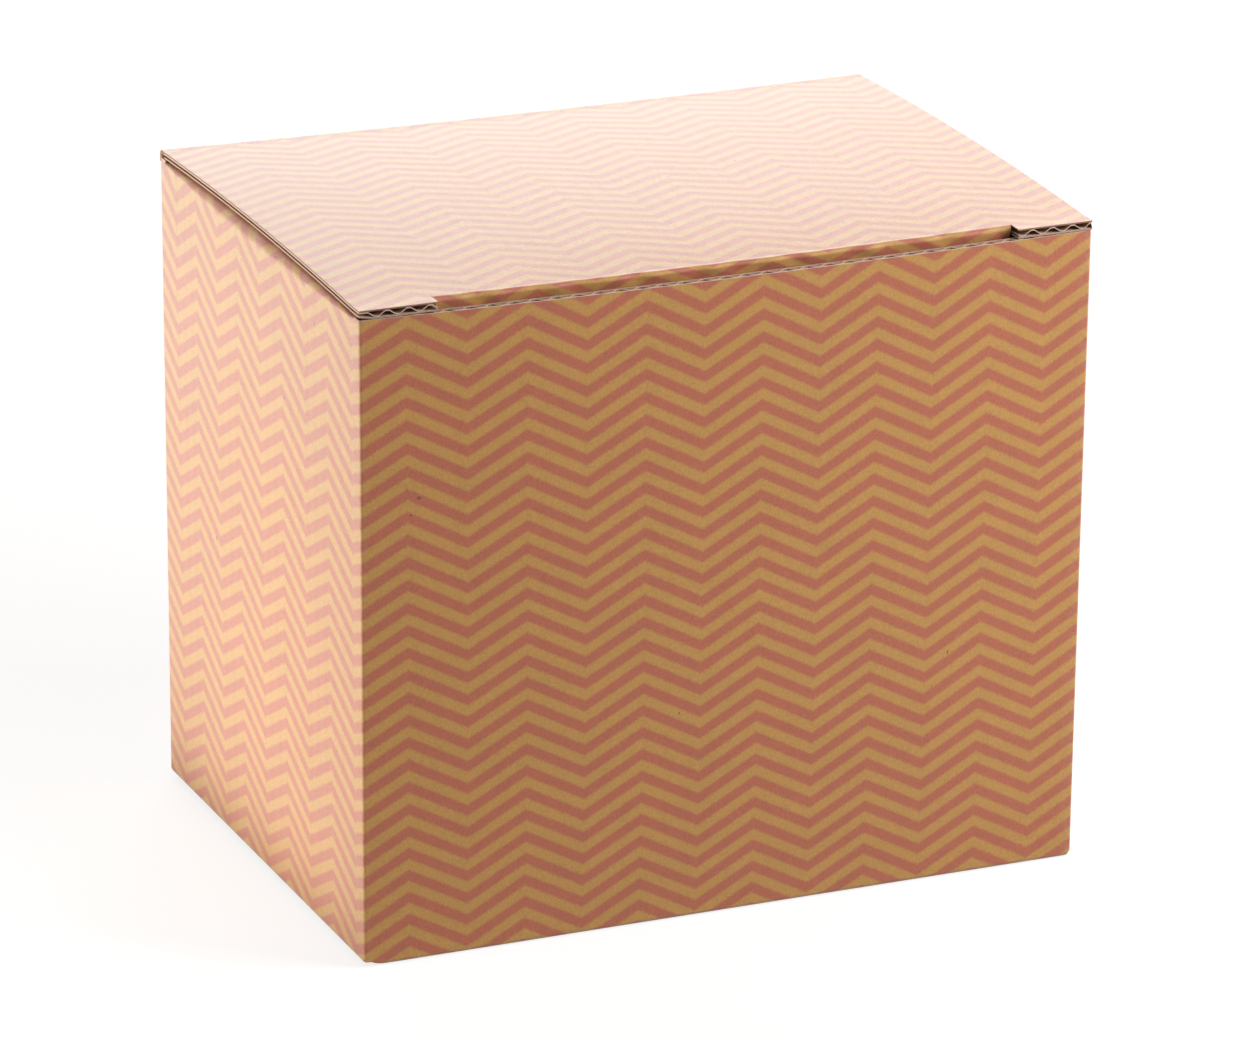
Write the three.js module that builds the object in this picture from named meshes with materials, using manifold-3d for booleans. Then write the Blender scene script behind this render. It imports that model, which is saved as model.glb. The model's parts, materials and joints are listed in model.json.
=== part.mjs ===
// Mug box: a tuck-top carton with a snap-lock bottom, folded from one die-cut blank of corrugated board.
// Millimetres, +Z up, origin in the middle of the base. The front faces -Y, the lid is creased to the back.
// Every flat panel is glued up from three papers: printed outer liner, waved fluting and inner liner.
import * as THREE from "three";
import { mergeVertices } from "three/addons/utils/BufferGeometryUtils.js";
import Module from "manifold-3d";

const wasm = await Module();
wasm.setup();

// Outside of the closed box
const BOX_WIDTH = 120;
const BOX_DEPTH = 86;
const BOX_HEIGHT = 105;

// Corrugated board
const LINER = 0.25;
const GLUE_LINE = 0.05;
const FLUTE_HEIGHT = 1.0;
const FLUTE_PITCH = 3.4;
const FLUTE_CREST = 0.9;
const FLUTING_PAPER = 0.2;
const BOARD = 2 * LINER + 2 * GLUE_LINE + FLUTE_HEIGHT;

// Creases and clearances
const CREASE_GAP = 0.3;
const FOLD_GAP = 0.05;
const FOLD_STEPS = 6;
const BEAD_SIDES = 14;
const ROUND_STEPS = 5;

// Lid and tuck flap
const EAR_WIDTH = 12.5;
const TUCK_LENGTH = 18;
const TUCK_CORNER = 9;
const TUCK_LEAN = 10;
const TUCK_CLEARANCE = 0.4;
const TUCK_SIDE_GAP = 0.6;
const LID_CREASE_INSET = 0.5;

// Dust flaps
const DUST_LENGTH = 48;
const DUST_SHOULDER = 9;
const DUST_STEP = 4.2;
const DUST_TAPER = 30;
const DUST_CORNER = 10;
const DUST_END_GAP = 0.6;
const DUST_BACK_GAP = 2;

// Glue flap and seam
const GLUE_FLAP_WIDTH = 14;
const GLUE_FLAP_TAPER = 10;
const GLUE_FLAP_INSET = 5;
const SEAM_INSET = 0.4;

// Snap-lock bottom
const FOLD_RELIEF = 3;
const FLAP_SHOULDER = 5;
const FLAP_LAP = 2.2;
const FRONT_FLAP_CORNER = 8;
const TONGUE_WIDTH = 56;
const TONGUE_RAMP = 13;
const TONGUE_LAP = 12;
const TONGUE_CORNER = 8;
const RECESS_CLEARANCE = 2;
const RECESS_DEPTH = 20;
const BACK_FLAP_LENGTH = 50;
const BACK_FLAP_RAMP = 8;
const BACK_LEG_CORNER = 6;
const SIDE_FLAP_TAPER = 45;
const SIDE_FLAP_GAP = 1;

// Places that several pieces share
const INNER_WIDTH = BOX_WIDTH - 2 * BOARD;
const INNER_DEPTH = BOX_DEPTH - 2 * BOARD;
const CREASE_REACH = BOARD / 2 + CREASE_GAP;
const LAYER = BOARD + CREASE_GAP;
const LID_AXIS = new THREE.Vector3(0, BOX_DEPTH / 2 - BOARD / 2, BOX_HEIGHT - BOARD / 2);
const TUCK_AXIS = new THREE.Vector3(0, -INNER_DEPTH / 2 + TUCK_CLEARANCE + BOARD / 2, LID_AXIS.z);
const DUST_AXIS = new THREE.Vector3(BOX_WIDTH / 2 - BOARD / 2, 0, LID_AXIS.z - LAYER);
const WALL_TOP = BOX_HEIGHT - LAYER;
const SIDE_TOP = DUST_AXIS.z - CREASE_REACH;
const NOTCH_HALF = BOX_WIDTH / 2 - EAR_WIDTH;
const SEAM_Y = INNER_DEPTH / 2 - GLUE_LINE - BOARD;

// Turns a side view drawn in X and Y into one that runs inwards along Y and up along Z, carried along X
const SIDE_VIEW = new THREE.Matrix4().makeBasis(
  new THREE.Vector3(0, 1, 0),
  new THREE.Vector3(0, 0, 1),
  new THREE.Vector3(1, 0, 0),
);

// Corners closer than this are one corner
const SAME_POINT = 1e-4;

// Finishes
const PRINTED = new THREE.MeshStandardMaterial({ color: 0xcf8f66, roughness: 0.7, metalness: 0 });
const KRAFT = new THREE.MeshStandardMaterial({ color: 0xc6a27a, roughness: 0.85, metalness: 0 });
const WAVED = new THREE.MeshStandardMaterial({ color: 0xa9855c, roughness: 0.9, metalness: 0 });

const radians = THREE.MathUtils.degToRad;

// A closed geometry as a solid that can be cut.
function solidOf(geometry) {
  const bare = geometry.clone().deleteAttribute("normal").deleteAttribute("uv");
  const merged = mergeVertices(bare, SAME_POINT);
  const triVerts = new Uint32Array(merged.index.array);
  const vertProperties = new Float32Array(merged.attributes.position.array);
  return new wasm.Manifold(new wasm.Mesh({ numProp: 3, vertProperties, triVerts }));
}

// The part of one closed geometry that lies inside another.
function common(first, second) {
  const mesh = solidOf(first).intersect(solidOf(second)).getMesh();
  const geometry = new THREE.BufferGeometry();
  geometry.setAttribute("position", new THREE.BufferAttribute(mesh.vertProperties, 3));
  geometry.setIndex(new THREE.BufferAttribute(mesh.triVerts, 1));
  geometry.computeVertexNormals();
  return geometry;
}

// A flat outline raised from one height to another.
function slab(shape, low, high) {
  const options = { depth: high - low, bevelEnabled: false, curveSegments: ROUND_STEPS };
  return new THREE.ExtrudeGeometry(shape, options).translate(0, 0, low);
}

// The point a given distance from a corner towards its neighbour.
function alongEdge(corner, neighbour, distance) {
  const from = new THREE.Vector2(corner[0], corner[1]);
  const step = new THREE.Vector2(neighbour[0], neighbour[1]).sub(from).setLength(distance);
  return from.add(step);
}

// A closed outline through corners [x, y, round]: a round is the length of edge that its curve takes up.
function outline(corners) {
  const shape = new THREE.Shape();
  corners.forEach((corner, i) => {
    const [x, y, round = 0] = corner;
    const enter = alongEdge(corner, corners.at(i - 1), round);
    const leave = alongEdge(corner, corners[(i + 1) % corners.length], round);
    if (i === 0) shape.moveTo(enter.x, enter.y);
    else shape.lineTo(enter.x, enter.y);
    if (round > 0) shape.quadraticCurveTo(x, y, leave.x, leave.y);
  });
  shape.closePath();
  return shape;
}

function rectangle(left, low, right, high) {
  return outline([[left, low], [right, low], [right, high], [left, high]]);
}

// Section of the fluting, from one place to another across it: flat crests and troughs joined by slopes.
function waveSection(from, to) {
  const middle = BOARD / 2;
  const swing = (FLUTE_HEIGHT - FLUTING_PAPER) / 2;
  const first = Math.floor(from / FLUTE_PITCH) - 1;
  const last = Math.ceil(to / FLUTE_PITCH) + 1;
  const knees = [];
  for (let flute = first; flute <= last; flute += 1) {
    const trough = flute * FLUTE_PITCH;
    const crest = trough + FLUTE_PITCH / 2;
    knees.push(new THREE.Vector2(trough - FLUTE_CREST / 2, middle - swing));
    knees.push(new THREE.Vector2(trough + FLUTE_CREST / 2, middle - swing));
    knees.push(new THREE.Vector2(crest - FLUTE_CREST / 2, middle + swing));
    knees.push(new THREE.Vector2(crest + FLUTE_CREST / 2, middle + swing));
  }
  const half = new THREE.Vector2(0, FLUTING_PAPER / 2);
  const upper = knees.map((knee) => knee.clone().add(half));
  const lower = knees.map((knee) => knee.clone().sub(half)).reverse();
  return new THREE.Shape([...upper, ...lower]);
}

// The waved paper inside an outline, with its flutes along Y.
function flutingInside(shape) {
  const { min, max } = new THREE.Box2().setFromPoints(shape.getPoints(ROUND_STEPS));
  const wave = slab(waveSection(min.x, max.x), 0, max.y - min.y);
  wave.rotateX(Math.PI / 2).translate(0, max.y, 0);
  return common(wave, slab(shape, 0, BOARD));
}

function piece(name, geometry, material) {
  const mesh = new THREE.Mesh(geometry, material);
  mesh.name = name;
  return mesh;
}

// A flat panel of corrugated board: inner face at z = 0, printed outer face up, flutes along Y.
function panel(name, shape) {
  const group = new THREE.Group();
  group.add(piece(`${name}_outer_liner`, slab(shape, BOARD - LINER, BOARD), PRINTED));
  group.add(piece(`${name}_fluting`, flutingInside(shape), WAVED));
  group.add(piece(`${name}_inner_liner`, slab(shape, 0, LINER), KRAFT));
  return group;
}

// A panel stood upright with its flutes vertical, its outer face turned from -Y about Z.
function standing(group, turn) {
  group.rotation.set(Math.PI / 2, 0, radians(turn), "ZXY");
  return group;
}

function at(object, x, y, z) {
  object.position.set(x, y, z);
  return object;
}

// A fold that stays put: a quarter round of board about the line where the two inner faces meet.
function quarterRound(length) {
  const shape = new THREE.Shape();
  shape.moveTo(0, 0);
  shape.absarc(0, 0, BOARD, Math.PI, 1.5 * Math.PI);
  shape.closePath();
  const options = { depth: length, bevelEnabled: false, curveSegments: FOLD_STEPS };
  return new THREE.ExtrudeGeometry(shape, options);
}

// An upright corner fold between two walls, from low to high, its outer side turned from (-X, -Y) about Z.
function cornerFold(name, x, y, low, high, turn) {
  const fold = piece(name, quarterRound(high - low), PRINTED);
  fold.rotation.z = radians(turn);
  return at(fold, x, y, low);
}

// A wall's bottom fold, centred along its wall, for a wall that faces -Y.
function bottomFold(name, length) {
  const fold = quarterRound(length).translate(0, 0, -length / 2).applyMatrix4(SIDE_VIEW);
  return piece(name, fold, PRINTED);
}

// A crease that a flap turns on: a round bead of pressed board along X or Y.
function creaseBead(name, length, alongX) {
  const bead = new THREE.CylinderGeometry(BOARD / 2, BOARD / 2, length, BEAD_SIDES);
  if (alongX) bead.rotateZ(Math.PI / 2);
  return piece(name, bead, PRINTED);
}

// Side view of a board that runs level from its fold, rises in an S bend and runs level again.
function risingBoard(rampStart, rampEnd, end, rise) {
  const bend = (rampStart + rampEnd) / 2;
  const side = new THREE.Shape();
  side.moveTo(FOLD_GAP, 0);
  side.lineTo(rampStart, 0);
  side.bezierCurveTo(bend, 0, bend, rise, rampEnd, rise);
  side.lineTo(end, rise);
  side.lineTo(end, rise + BOARD);
  side.lineTo(rampEnd, rise + BOARD);
  side.bezierCurveTo(bend, rise + BOARD, bend, BOARD, rampStart, BOARD);
  side.lineTo(FOLD_GAP, BOARD);
  side.closePath();
  return side;
}

// A bottom flap: a side view carried along X and cut to its plan, with Y running inwards from the fold.
function bottomFlap(name, side, plan, rise) {
  const board = slab(side, -BOX_WIDTH / 2, BOX_WIDTH / 2).applyMatrix4(SIDE_VIEW);
  const cutter = slab(plan, -BOARD, rise + 2 * BOARD);
  return piece(name, common(board, cutter), KRAFT);
}

// The four walls, their glue flap and the four upright corners
function walls() {
  const group = new THREE.Group();
  const wallLow = BOARD + FOLD_GAP;
  const sideLow = LAYER + BOARD + FOLD_GAP;
  const wideHalf = INNER_WIDTH / 2 - FOLD_GAP;
  const deepHalf = INNER_DEPTH / 2 - FOLD_GAP;
  const front = panel("front_wall", rectangle(-wideHalf, wallLow, wideHalf, WALL_TOP));
  const back = panel("back_wall", rectangle(-BOX_WIDTH / 2 + SEAM_INSET, wallLow, wideHalf, WALL_TOP));
  const left = panel("left_wall", rectangle(-deepHalf, sideLow, deepHalf, SIDE_TOP));
  const right = panel("right_wall", rectangle(-deepHalf, sideLow, SEAM_Y - FOLD_GAP, SIDE_TOP));
  group.add(at(standing(front, 0), 0, -INNER_DEPTH / 2, 0));
  group.add(at(standing(back, 180), 0, INNER_DEPTH / 2, 0));
  group.add(at(standing(left, -90), -INNER_WIDTH / 2, 0, 0));
  group.add(at(standing(right, 90), INNER_WIDTH / 2, 0, 0));

  const flapLow = sideLow + GLUE_FLAP_INSET;
  const flapHigh = SIDE_TOP - GLUE_FLAP_INSET;
  const glueFlap = panel("glue_flap", outline([
    [-INNER_WIDTH / 2 + FOLD_GAP, flapLow],
    [-INNER_WIDTH / 2 + GLUE_FLAP_WIDTH, flapLow + GLUE_FLAP_TAPER],
    [-INNER_WIDTH / 2 + GLUE_FLAP_WIDTH, flapHigh - GLUE_FLAP_TAPER],
    [-INNER_WIDTH / 2 + FOLD_GAP, flapHigh],
  ]));
  group.add(at(standing(glueFlap, 180), 0, SEAM_Y, 0));

  const x = INNER_WIDTH / 2;
  const y = INNER_DEPTH / 2;
  group.add(cornerFold("front_left_corner", -x, -y, LAYER, WALL_TOP, 0));
  group.add(cornerFold("front_right_corner", x, -y, LAYER, WALL_TOP, 90));
  group.add(cornerFold("back_left_corner", -x, y, LAYER, WALL_TOP, 270));
  group.add(cornerFold("seam_corner", x, SEAM_Y, sideLow, SIDE_TOP, 180));
  return group;
}

// The lid with its two ears, and the crease that it turns on
function lid() {
  const group = new THREE.Group();
  const half = BOX_WIDTH / 2;
  const front = -BOX_DEPTH / 2;
  const back = LID_AXIS.y - CREASE_REACH;
  const notch = TUCK_AXIS.y + CREASE_REACH;
  const shape = outline([
    [-half, front],
    [-NOTCH_HALF, front],
    [-NOTCH_HALF, notch],
    [NOTCH_HALF, notch],
    [NOTCH_HALF, front],
    [half, front],
    [half, back],
    [-half, back],
  ]);
  group.add(at(panel("lid", shape), 0, 0, BOX_HEIGHT - BOARD));
  const crease = creaseBead("lid_crease", BOX_WIDTH - 2 * LID_CREASE_INSET, true);
  group.add(at(crease, LID_AXIS.x, LID_AXIS.y, LID_AXIS.z));
  return group;
}

// The tuck flap behind the front wall: it leans inwards, so that it clears the wall as the lid swings up
function tuckFlap() {
  const group = new THREE.Group();
  const half = NOTCH_HALF - TUCK_SIDE_GAP;
  const flap = panel("tuck_flap", outline([
    [half, -CREASE_REACH],
    [-half, -CREASE_REACH],
    [-half, -TUCK_LENGTH, TUCK_CORNER],
    [half, -TUCK_LENGTH, TUCK_CORNER],
  ]));
  const hinge = new THREE.Group();
  hinge.add(at(flap, 0, 0, -BOARD / 2));
  hinge.rotation.x = Math.PI / 2 + radians(TUCK_LEAN);
  group.add(at(hinge, TUCK_AXIS.x, TUCK_AXIS.y, TUCK_AXIS.z));
  const crease = creaseBead("tuck_crease", 2 * half, true);
  group.add(at(crease, TUCK_AXIS.x, TUCK_AXIS.y, TUCK_AXIS.z));
  return group;
}

// A dust flap and its crease, on the left wall with across -1 or on the right wall with 1. Its outline is
// drawn with Y inwards from the crease, so X runs to the front on the left and to the back on the right.
function dustFlap(name, across) {
  const group = new THREE.Group();
  const frontEdge = -INNER_DEPTH / 2 + DUST_END_GAP;
  const backAt = (reach) => LID_AXIS.y - DUST_BACK_GAP - reach * Math.tan(radians(DUST_TAPER));
  const shape = outline([
    [across * frontEdge, CREASE_REACH],
    [across * frontEdge, DUST_SHOULDER],
    [across * (frontEdge + DUST_STEP), DUST_SHOULDER + DUST_STEP],
    [across * (frontEdge + DUST_STEP), DUST_LENGTH, DUST_CORNER],
    [across * backAt(DUST_LENGTH), DUST_LENGTH, DUST_CORNER],
    [across * backAt(CREASE_REACH), CREASE_REACH],
  ]);
  const hinge = new THREE.Group();
  hinge.add(at(panel(`${name}_dust_flap`, shape), 0, 0, -BOARD / 2));
  hinge.rotation.z = radians(90 * across);
  group.add(at(hinge, across * DUST_AXIS.x, DUST_AXIS.y, DUST_AXIS.z));
  const crease = creaseBead(`${name}_dust_crease`, INNER_DEPTH - 2 * DUST_END_GAP, false);
  group.add(at(crease, across * DUST_AXIS.x, DUST_AXIS.y, DUST_AXIS.z));
  return group;
}

// The snap-lock bottom: the back flap lies over the side flaps, and the front flap's tongue rises through the
// recess in the back flap and lies on top of it
function bottom() {
  const group = new THREE.Group();
  const foldHalf = BOX_WIDTH / 2 - FOLD_RELIEF;
  const plateHalf = foldHalf - FLAP_SHOULDER;
  const tongueHalf = TONGUE_WIDTH / 2;
  const recessHalf = tongueHalf + RECESS_CLEARANCE;

  const frontLength = INNER_DEPTH - BACK_FLAP_LENGTH + FLAP_LAP;
  const recessEdge = BACK_FLAP_LENGTH - RECESS_DEPTH;
  const tongueTop = INNER_DEPTH - recessEdge - RECESS_CLEARANCE;
  const tongueEnd = tongueTop + RECESS_CLEARANCE + TONGUE_LAP;
  const tongueRise = 3 * LAYER;
  const frontSide = risingBoard(tongueTop - TONGUE_RAMP, tongueTop, tongueEnd, tongueRise);
  const frontPlan = outline([
    [-foldHalf, 0],
    [foldHalf, 0],
    [plateHalf, FLAP_SHOULDER],
    [plateHalf, frontLength, FRONT_FLAP_CORNER],
    [tongueHalf, frontLength],
    [tongueHalf, tongueEnd, TONGUE_CORNER],
    [-tongueHalf, tongueEnd, TONGUE_CORNER],
    [-tongueHalf, frontLength],
    [-plateHalf, frontLength, FRONT_FLAP_CORNER],
    [-plateHalf, FLAP_SHOULDER],
  ]);
  const front = at(new THREE.Group(), 0, -INNER_DEPTH / 2, 0);
  front.add(bottomFlap("front_bottom_flap", frontSide, frontPlan, tongueRise));
  front.add(at(bottomFold("front_bottom_fold", 2 * foldHalf), 0, 0, BOARD));

  const backRise = 2 * LAYER;
  const backSide = risingBoard(FOLD_GAP, BACK_FLAP_RAMP, BACK_FLAP_LENGTH, backRise);
  const backPlan = outline([
    [-foldHalf, 0],
    [foldHalf, 0],
    [plateHalf, FLAP_SHOULDER],
    [plateHalf, BACK_FLAP_LENGTH, BACK_LEG_CORNER],
    [recessHalf, BACK_FLAP_LENGTH, BACK_LEG_CORNER],
    [recessHalf, recessEdge],
    [-recessHalf, recessEdge],
    [-recessHalf, BACK_FLAP_LENGTH, BACK_LEG_CORNER],
    [-plateHalf, BACK_FLAP_LENGTH, BACK_LEG_CORNER],
    [-plateHalf, FLAP_SHOULDER],
  ]);
  const back = at(new THREE.Group(), 0, INNER_DEPTH / 2, 0);
  back.add(bottomFlap("back_bottom_flap", backSide, backPlan, backRise));
  back.add(at(bottomFold("back_bottom_fold", 2 * foldHalf), 0, 0, BOARD));
  back.rotation.z = Math.PI;
  group.add(front, back);

  const sideHalf = BOX_DEPTH / 2 - FOLD_RELIEF;
  const sideReach = INNER_WIDTH / 2 - recessHalf - SIDE_FLAP_GAP;
  const tipHalf = sideHalf - sideReach * Math.tan(radians(SIDE_FLAP_TAPER));
  const sidePlan = outline([
    [-sideHalf, FOLD_GAP],
    [sideHalf, FOLD_GAP],
    [tipHalf, sideReach],
    [-tipHalf, sideReach],
  ]);
  for (const [name, across] of [["left", -1], ["right", 1]]) {
    const side = at(new THREE.Group(), across * INNER_WIDTH / 2, 0, LAYER);
    side.add(piece(`${name}_bottom_flap`, slab(sidePlan, 0, BOARD), KRAFT));
    side.add(at(bottomFold(`${name}_bottom_fold`, 2 * sideHalf), 0, 0, BOARD));
    side.rotation.z = radians(90 * across);
    group.add(side);
  }
  return group;
}

const mugBox = new THREE.Group();
mugBox.add(walls(), lid(), tuckFlap(), dustFlap("left", -1), dustFlap("right", 1), bottom());

export default mugBox;
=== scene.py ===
"""Looks of the mug box: its papers, folds, print and studio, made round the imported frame.

Every panel is glued up from three papers, as the real board is: a printed liner, a waved fluting and a plain
lining. A paper is one closed sheet between two like grids of points. Lengths are millimetres until a mesh is
written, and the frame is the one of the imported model: +Z up, the front towards -Y.
"""
import json
import logging
import math
from dataclasses import dataclass, field
from enum import Enum
from functools import partial
from typing import Callable

import bpy
import numpy as np
from mathutils import Matrix, Vector


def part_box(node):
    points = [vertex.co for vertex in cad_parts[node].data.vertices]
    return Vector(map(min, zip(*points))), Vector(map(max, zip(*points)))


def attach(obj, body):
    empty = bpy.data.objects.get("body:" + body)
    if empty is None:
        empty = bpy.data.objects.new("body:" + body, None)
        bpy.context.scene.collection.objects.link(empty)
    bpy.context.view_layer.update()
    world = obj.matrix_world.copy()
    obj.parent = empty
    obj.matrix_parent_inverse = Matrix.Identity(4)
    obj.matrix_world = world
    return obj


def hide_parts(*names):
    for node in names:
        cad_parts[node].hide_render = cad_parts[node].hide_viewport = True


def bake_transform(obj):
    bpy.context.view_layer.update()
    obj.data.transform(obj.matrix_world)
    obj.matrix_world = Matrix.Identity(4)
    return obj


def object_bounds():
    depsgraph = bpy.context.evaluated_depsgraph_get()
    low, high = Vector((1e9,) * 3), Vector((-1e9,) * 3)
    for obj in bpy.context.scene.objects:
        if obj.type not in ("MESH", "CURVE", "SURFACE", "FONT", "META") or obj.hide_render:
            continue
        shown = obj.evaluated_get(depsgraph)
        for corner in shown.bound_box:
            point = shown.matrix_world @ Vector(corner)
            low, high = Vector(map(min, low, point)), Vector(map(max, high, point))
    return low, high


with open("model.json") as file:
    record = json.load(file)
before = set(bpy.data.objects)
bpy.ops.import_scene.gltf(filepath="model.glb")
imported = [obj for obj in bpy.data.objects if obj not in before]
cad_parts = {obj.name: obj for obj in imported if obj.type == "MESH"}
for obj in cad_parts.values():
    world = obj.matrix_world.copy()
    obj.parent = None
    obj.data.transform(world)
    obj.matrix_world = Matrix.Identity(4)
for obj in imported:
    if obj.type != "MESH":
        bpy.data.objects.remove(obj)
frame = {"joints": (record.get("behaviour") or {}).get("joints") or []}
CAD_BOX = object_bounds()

log = logging.getLogger("mug_box")

MM = 0.001
SHARP_EDGE = math.radians(35)
QUARTER = math.pi / 2
NEARLY = 1e-6
TINY = 1e-9

Colour = tuple[float, float, float]
Spot = tuple[float, float, float]
Socket = bpy.types.NodeSocket
Field = Callable[[np.ndarray, np.ndarray], np.ndarray]
Crush = Callable[[np.ndarray, np.ndarray, np.ndarray], np.ndarray]


def linear(red: int, green: int, blue: int) -> Colour:
    """Turns a screen colour of 0 to 255 into a linear one.

    Args:
        red: Red as the screen shows it.
        green: Green as the screen shows it.
        blue: Blue as the screen shows it.

    Returns:
        The three linear values, from 0 to 1.
    """
    screen = np.array([red, green, blue]) / 255
    value = np.where(screen <= 0.04045, screen / 12.92, ((screen + 0.055) / 1.055) ** 2.4)
    return tuple(float(v) for v in value)


class Side(Enum):
    """The four walls, in the order in which the blank runs round the box."""

    BACK = "back"
    LEFT = "left"
    FRONT = "front"
    RIGHT = "right"

    @property
    def wide(self) -> bool:
        """Whether the wall runs along X."""
        return self in (Side.FRONT, Side.BACK)

    @property
    def sign(self) -> int:
        """-1 for the front and left walls, 1 for the back and right ones."""
        return -1 if self in (Side.FRONT, Side.LEFT) else 1


class Slot(Enum):
    """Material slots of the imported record."""

    PRINT = "printed_liner"
    LINING = "kraft_liner"
    FLUTES = "fluting"
    FOLD = "printed_fold"
    BOTTOM = "bottom_board"


class Sketch:
    """Short words for wiring the nodes of one material or world."""

    def __init__(self, owner: bpy.types.Material | bpy.types.World) -> None:
        """Empties a node tree.

        Args:
            owner: The material or world that the tree belongs to.
        """
        owner.use_nodes = True
        self.tree = owner.node_tree
        self.tree.nodes.clear()

    def node(self, kind: str, inputs: dict, output: int | str = 0, **settings: object) -> Socket:
        """Adds a node.

        Args:
            kind: Type of the node, without its common beginning.
            inputs: Links and plain values, by the number or name of the socket that takes them.
            output: Number or name of the socket that is wanted.
            **settings: Plain properties of the node.

        Returns:
            The socket that is wanted.
        """
        made = self.tree.nodes.new(f"ShaderNode{kind}")
        for key, value in settings.items():
            setattr(made, key, value)
        for key, value in inputs.items():
            if isinstance(value, Socket):
                self.tree.links.new(value, made.inputs[key])
            else:
                made.inputs[key].default_value = value
        return made.outputs[output]

    def math(self, operation: str, *values: Socket | float) -> Socket:
        """One sum of up to three values."""
        return self.node("Math", dict(enumerate(values)), operation=operation)

    def noise(self, spot: Socket, size: float, detail: float = 2.0) -> Socket:
        """Soft noise from 0 to 1 whose lumps have a size in millimetres."""
        return self.node("TexNoise", {"Vector": spot, "Scale": 1 / (size * MM), "Detail": detail}, "Fac")

    def band(self, value: Socket, low: float, high: float, start: float, end: float) -> Socket:
        """Smooth step of a value: start below low, end above high."""
        ends = {"From Min": low, "From Max": high, "To Min": start, "To Max": end}
        return self.node("MapRange", {"Value": value, **ends}, "Result", interpolation_type="SMOOTHSTEP")

    def mix(
        self, share: Socket | float, first: Socket | Colour, second: Socket | Colour, how: str = "MIX"
    ) -> Socket:
        """Mixes two colours, or multiplies the first by the second."""
        a, b = ((*value, 1.0) if isinstance(value, tuple) else value for value in (first, second))
        return self.node("Mix", {0: share, 6: a, 7: b}, 2, data_type="RGBA", blend_type=how)

    def bump(self, height: Socket, depth: float, below: Socket | None = None) -> Socket:
        """Relief of a given depth in millimetres from a height of 0 to 1, over another relief."""
        under = {} if below is None else {"Normal": below}
        return self.node("Bump", {"Distance": depth * MM, "Height": height, **under}, "Normal")

    def finish(self, shader: Socket, kind: str = "Material") -> None:
        """Ends the tree in a shader."""
        self.tree.links.new(shader, self.tree.nodes.new(f"ShaderNodeOutput{kind}").inputs["Surface"])

    def paper(self, colour: Socket, roughness: Socket, normal: Socket, sheen: float, gloss: float) -> None:
        """Ends the tree in one paper surface.

        Args:
            colour: Base colour.
            roughness: Roughness.
            normal: Relief.
            sheen: Weight of the paper's fuzz.
            gloss: Level of its mirror light.
        """
        looks = {"Base Color": colour, "Roughness": roughness, "Normal": normal}
        shine = {"Specular IOR Level": gloss, "Sheen Weight": sheen, "Sheen Roughness": 0.5}
        self.finish(self.node("BsdfPrincipled", {**looks, **shine}, "BSDF"))


@dataclass(frozen=True)
class Chevron:
    """The zigzag print as one drawing over the whole blank.

    A spot of the drawing is (across, down): across counts zigzags and down counts pairs of stripes. A stripe
    of the first ink runs where down plus the swing times a triangle wave of across is a whole number.
    """

    repeat: float = 19.05
    pitch: float = 3.61
    swing: float = 1.43
    corner_phase: float = 0.62
    wall_phase: float = 0.43
    lid_across_phase: float = 0.467
    lid_down_phase: float = 0.455
    creep: float = 0.9
    creep_start: float = 1.2
    creep_end: float = 72.0

    def on_walls(self, along: np.ndarray, height: np.ndarray, top: float) -> np.ndarray:
        """Spots on the walls and on what hangs on them.

        Args:
            along: Way round the sleeve from its front left corner. The corner's crease takes up a little
                paper, which the left wall makes up for towards the back.
            height: Height, carried on past a fold as if the blank were flat.
            top: Height of the front wall's top edge.

        Returns:
            The spots, as one more axis of two.
        """
        back = np.maximum(-along, 0)
        crept = self.creep * np.clip(back / self.creep_start, 0, 1) * np.clip(1 - back / self.creep_end, 0, 1)
        across = (along + crept) / self.repeat + self.corner_phase
        down = (top - height) / self.pitch + self.wall_phase
        return np.stack(np.broadcast_arrays(across, down), axis=-1)

    def on_lid(self, across: np.ndarray, reach: np.ndarray, half: float) -> np.ndarray:
        """Spots on the lid and tuck flap.

        Args:
            across: Way to the right of the lid's middle.
            reach: Way from the box's back edge over the lid.
            half: Half of the lid's width.

        Returns:
            The spots, as one more axis of two.
        """
        sideways = (across + half) / self.repeat + self.lid_across_phase
        down = reach / self.pitch + self.lid_down_phase
        return np.stack(np.broadcast_arrays(sideways, down), axis=-1)


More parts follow.
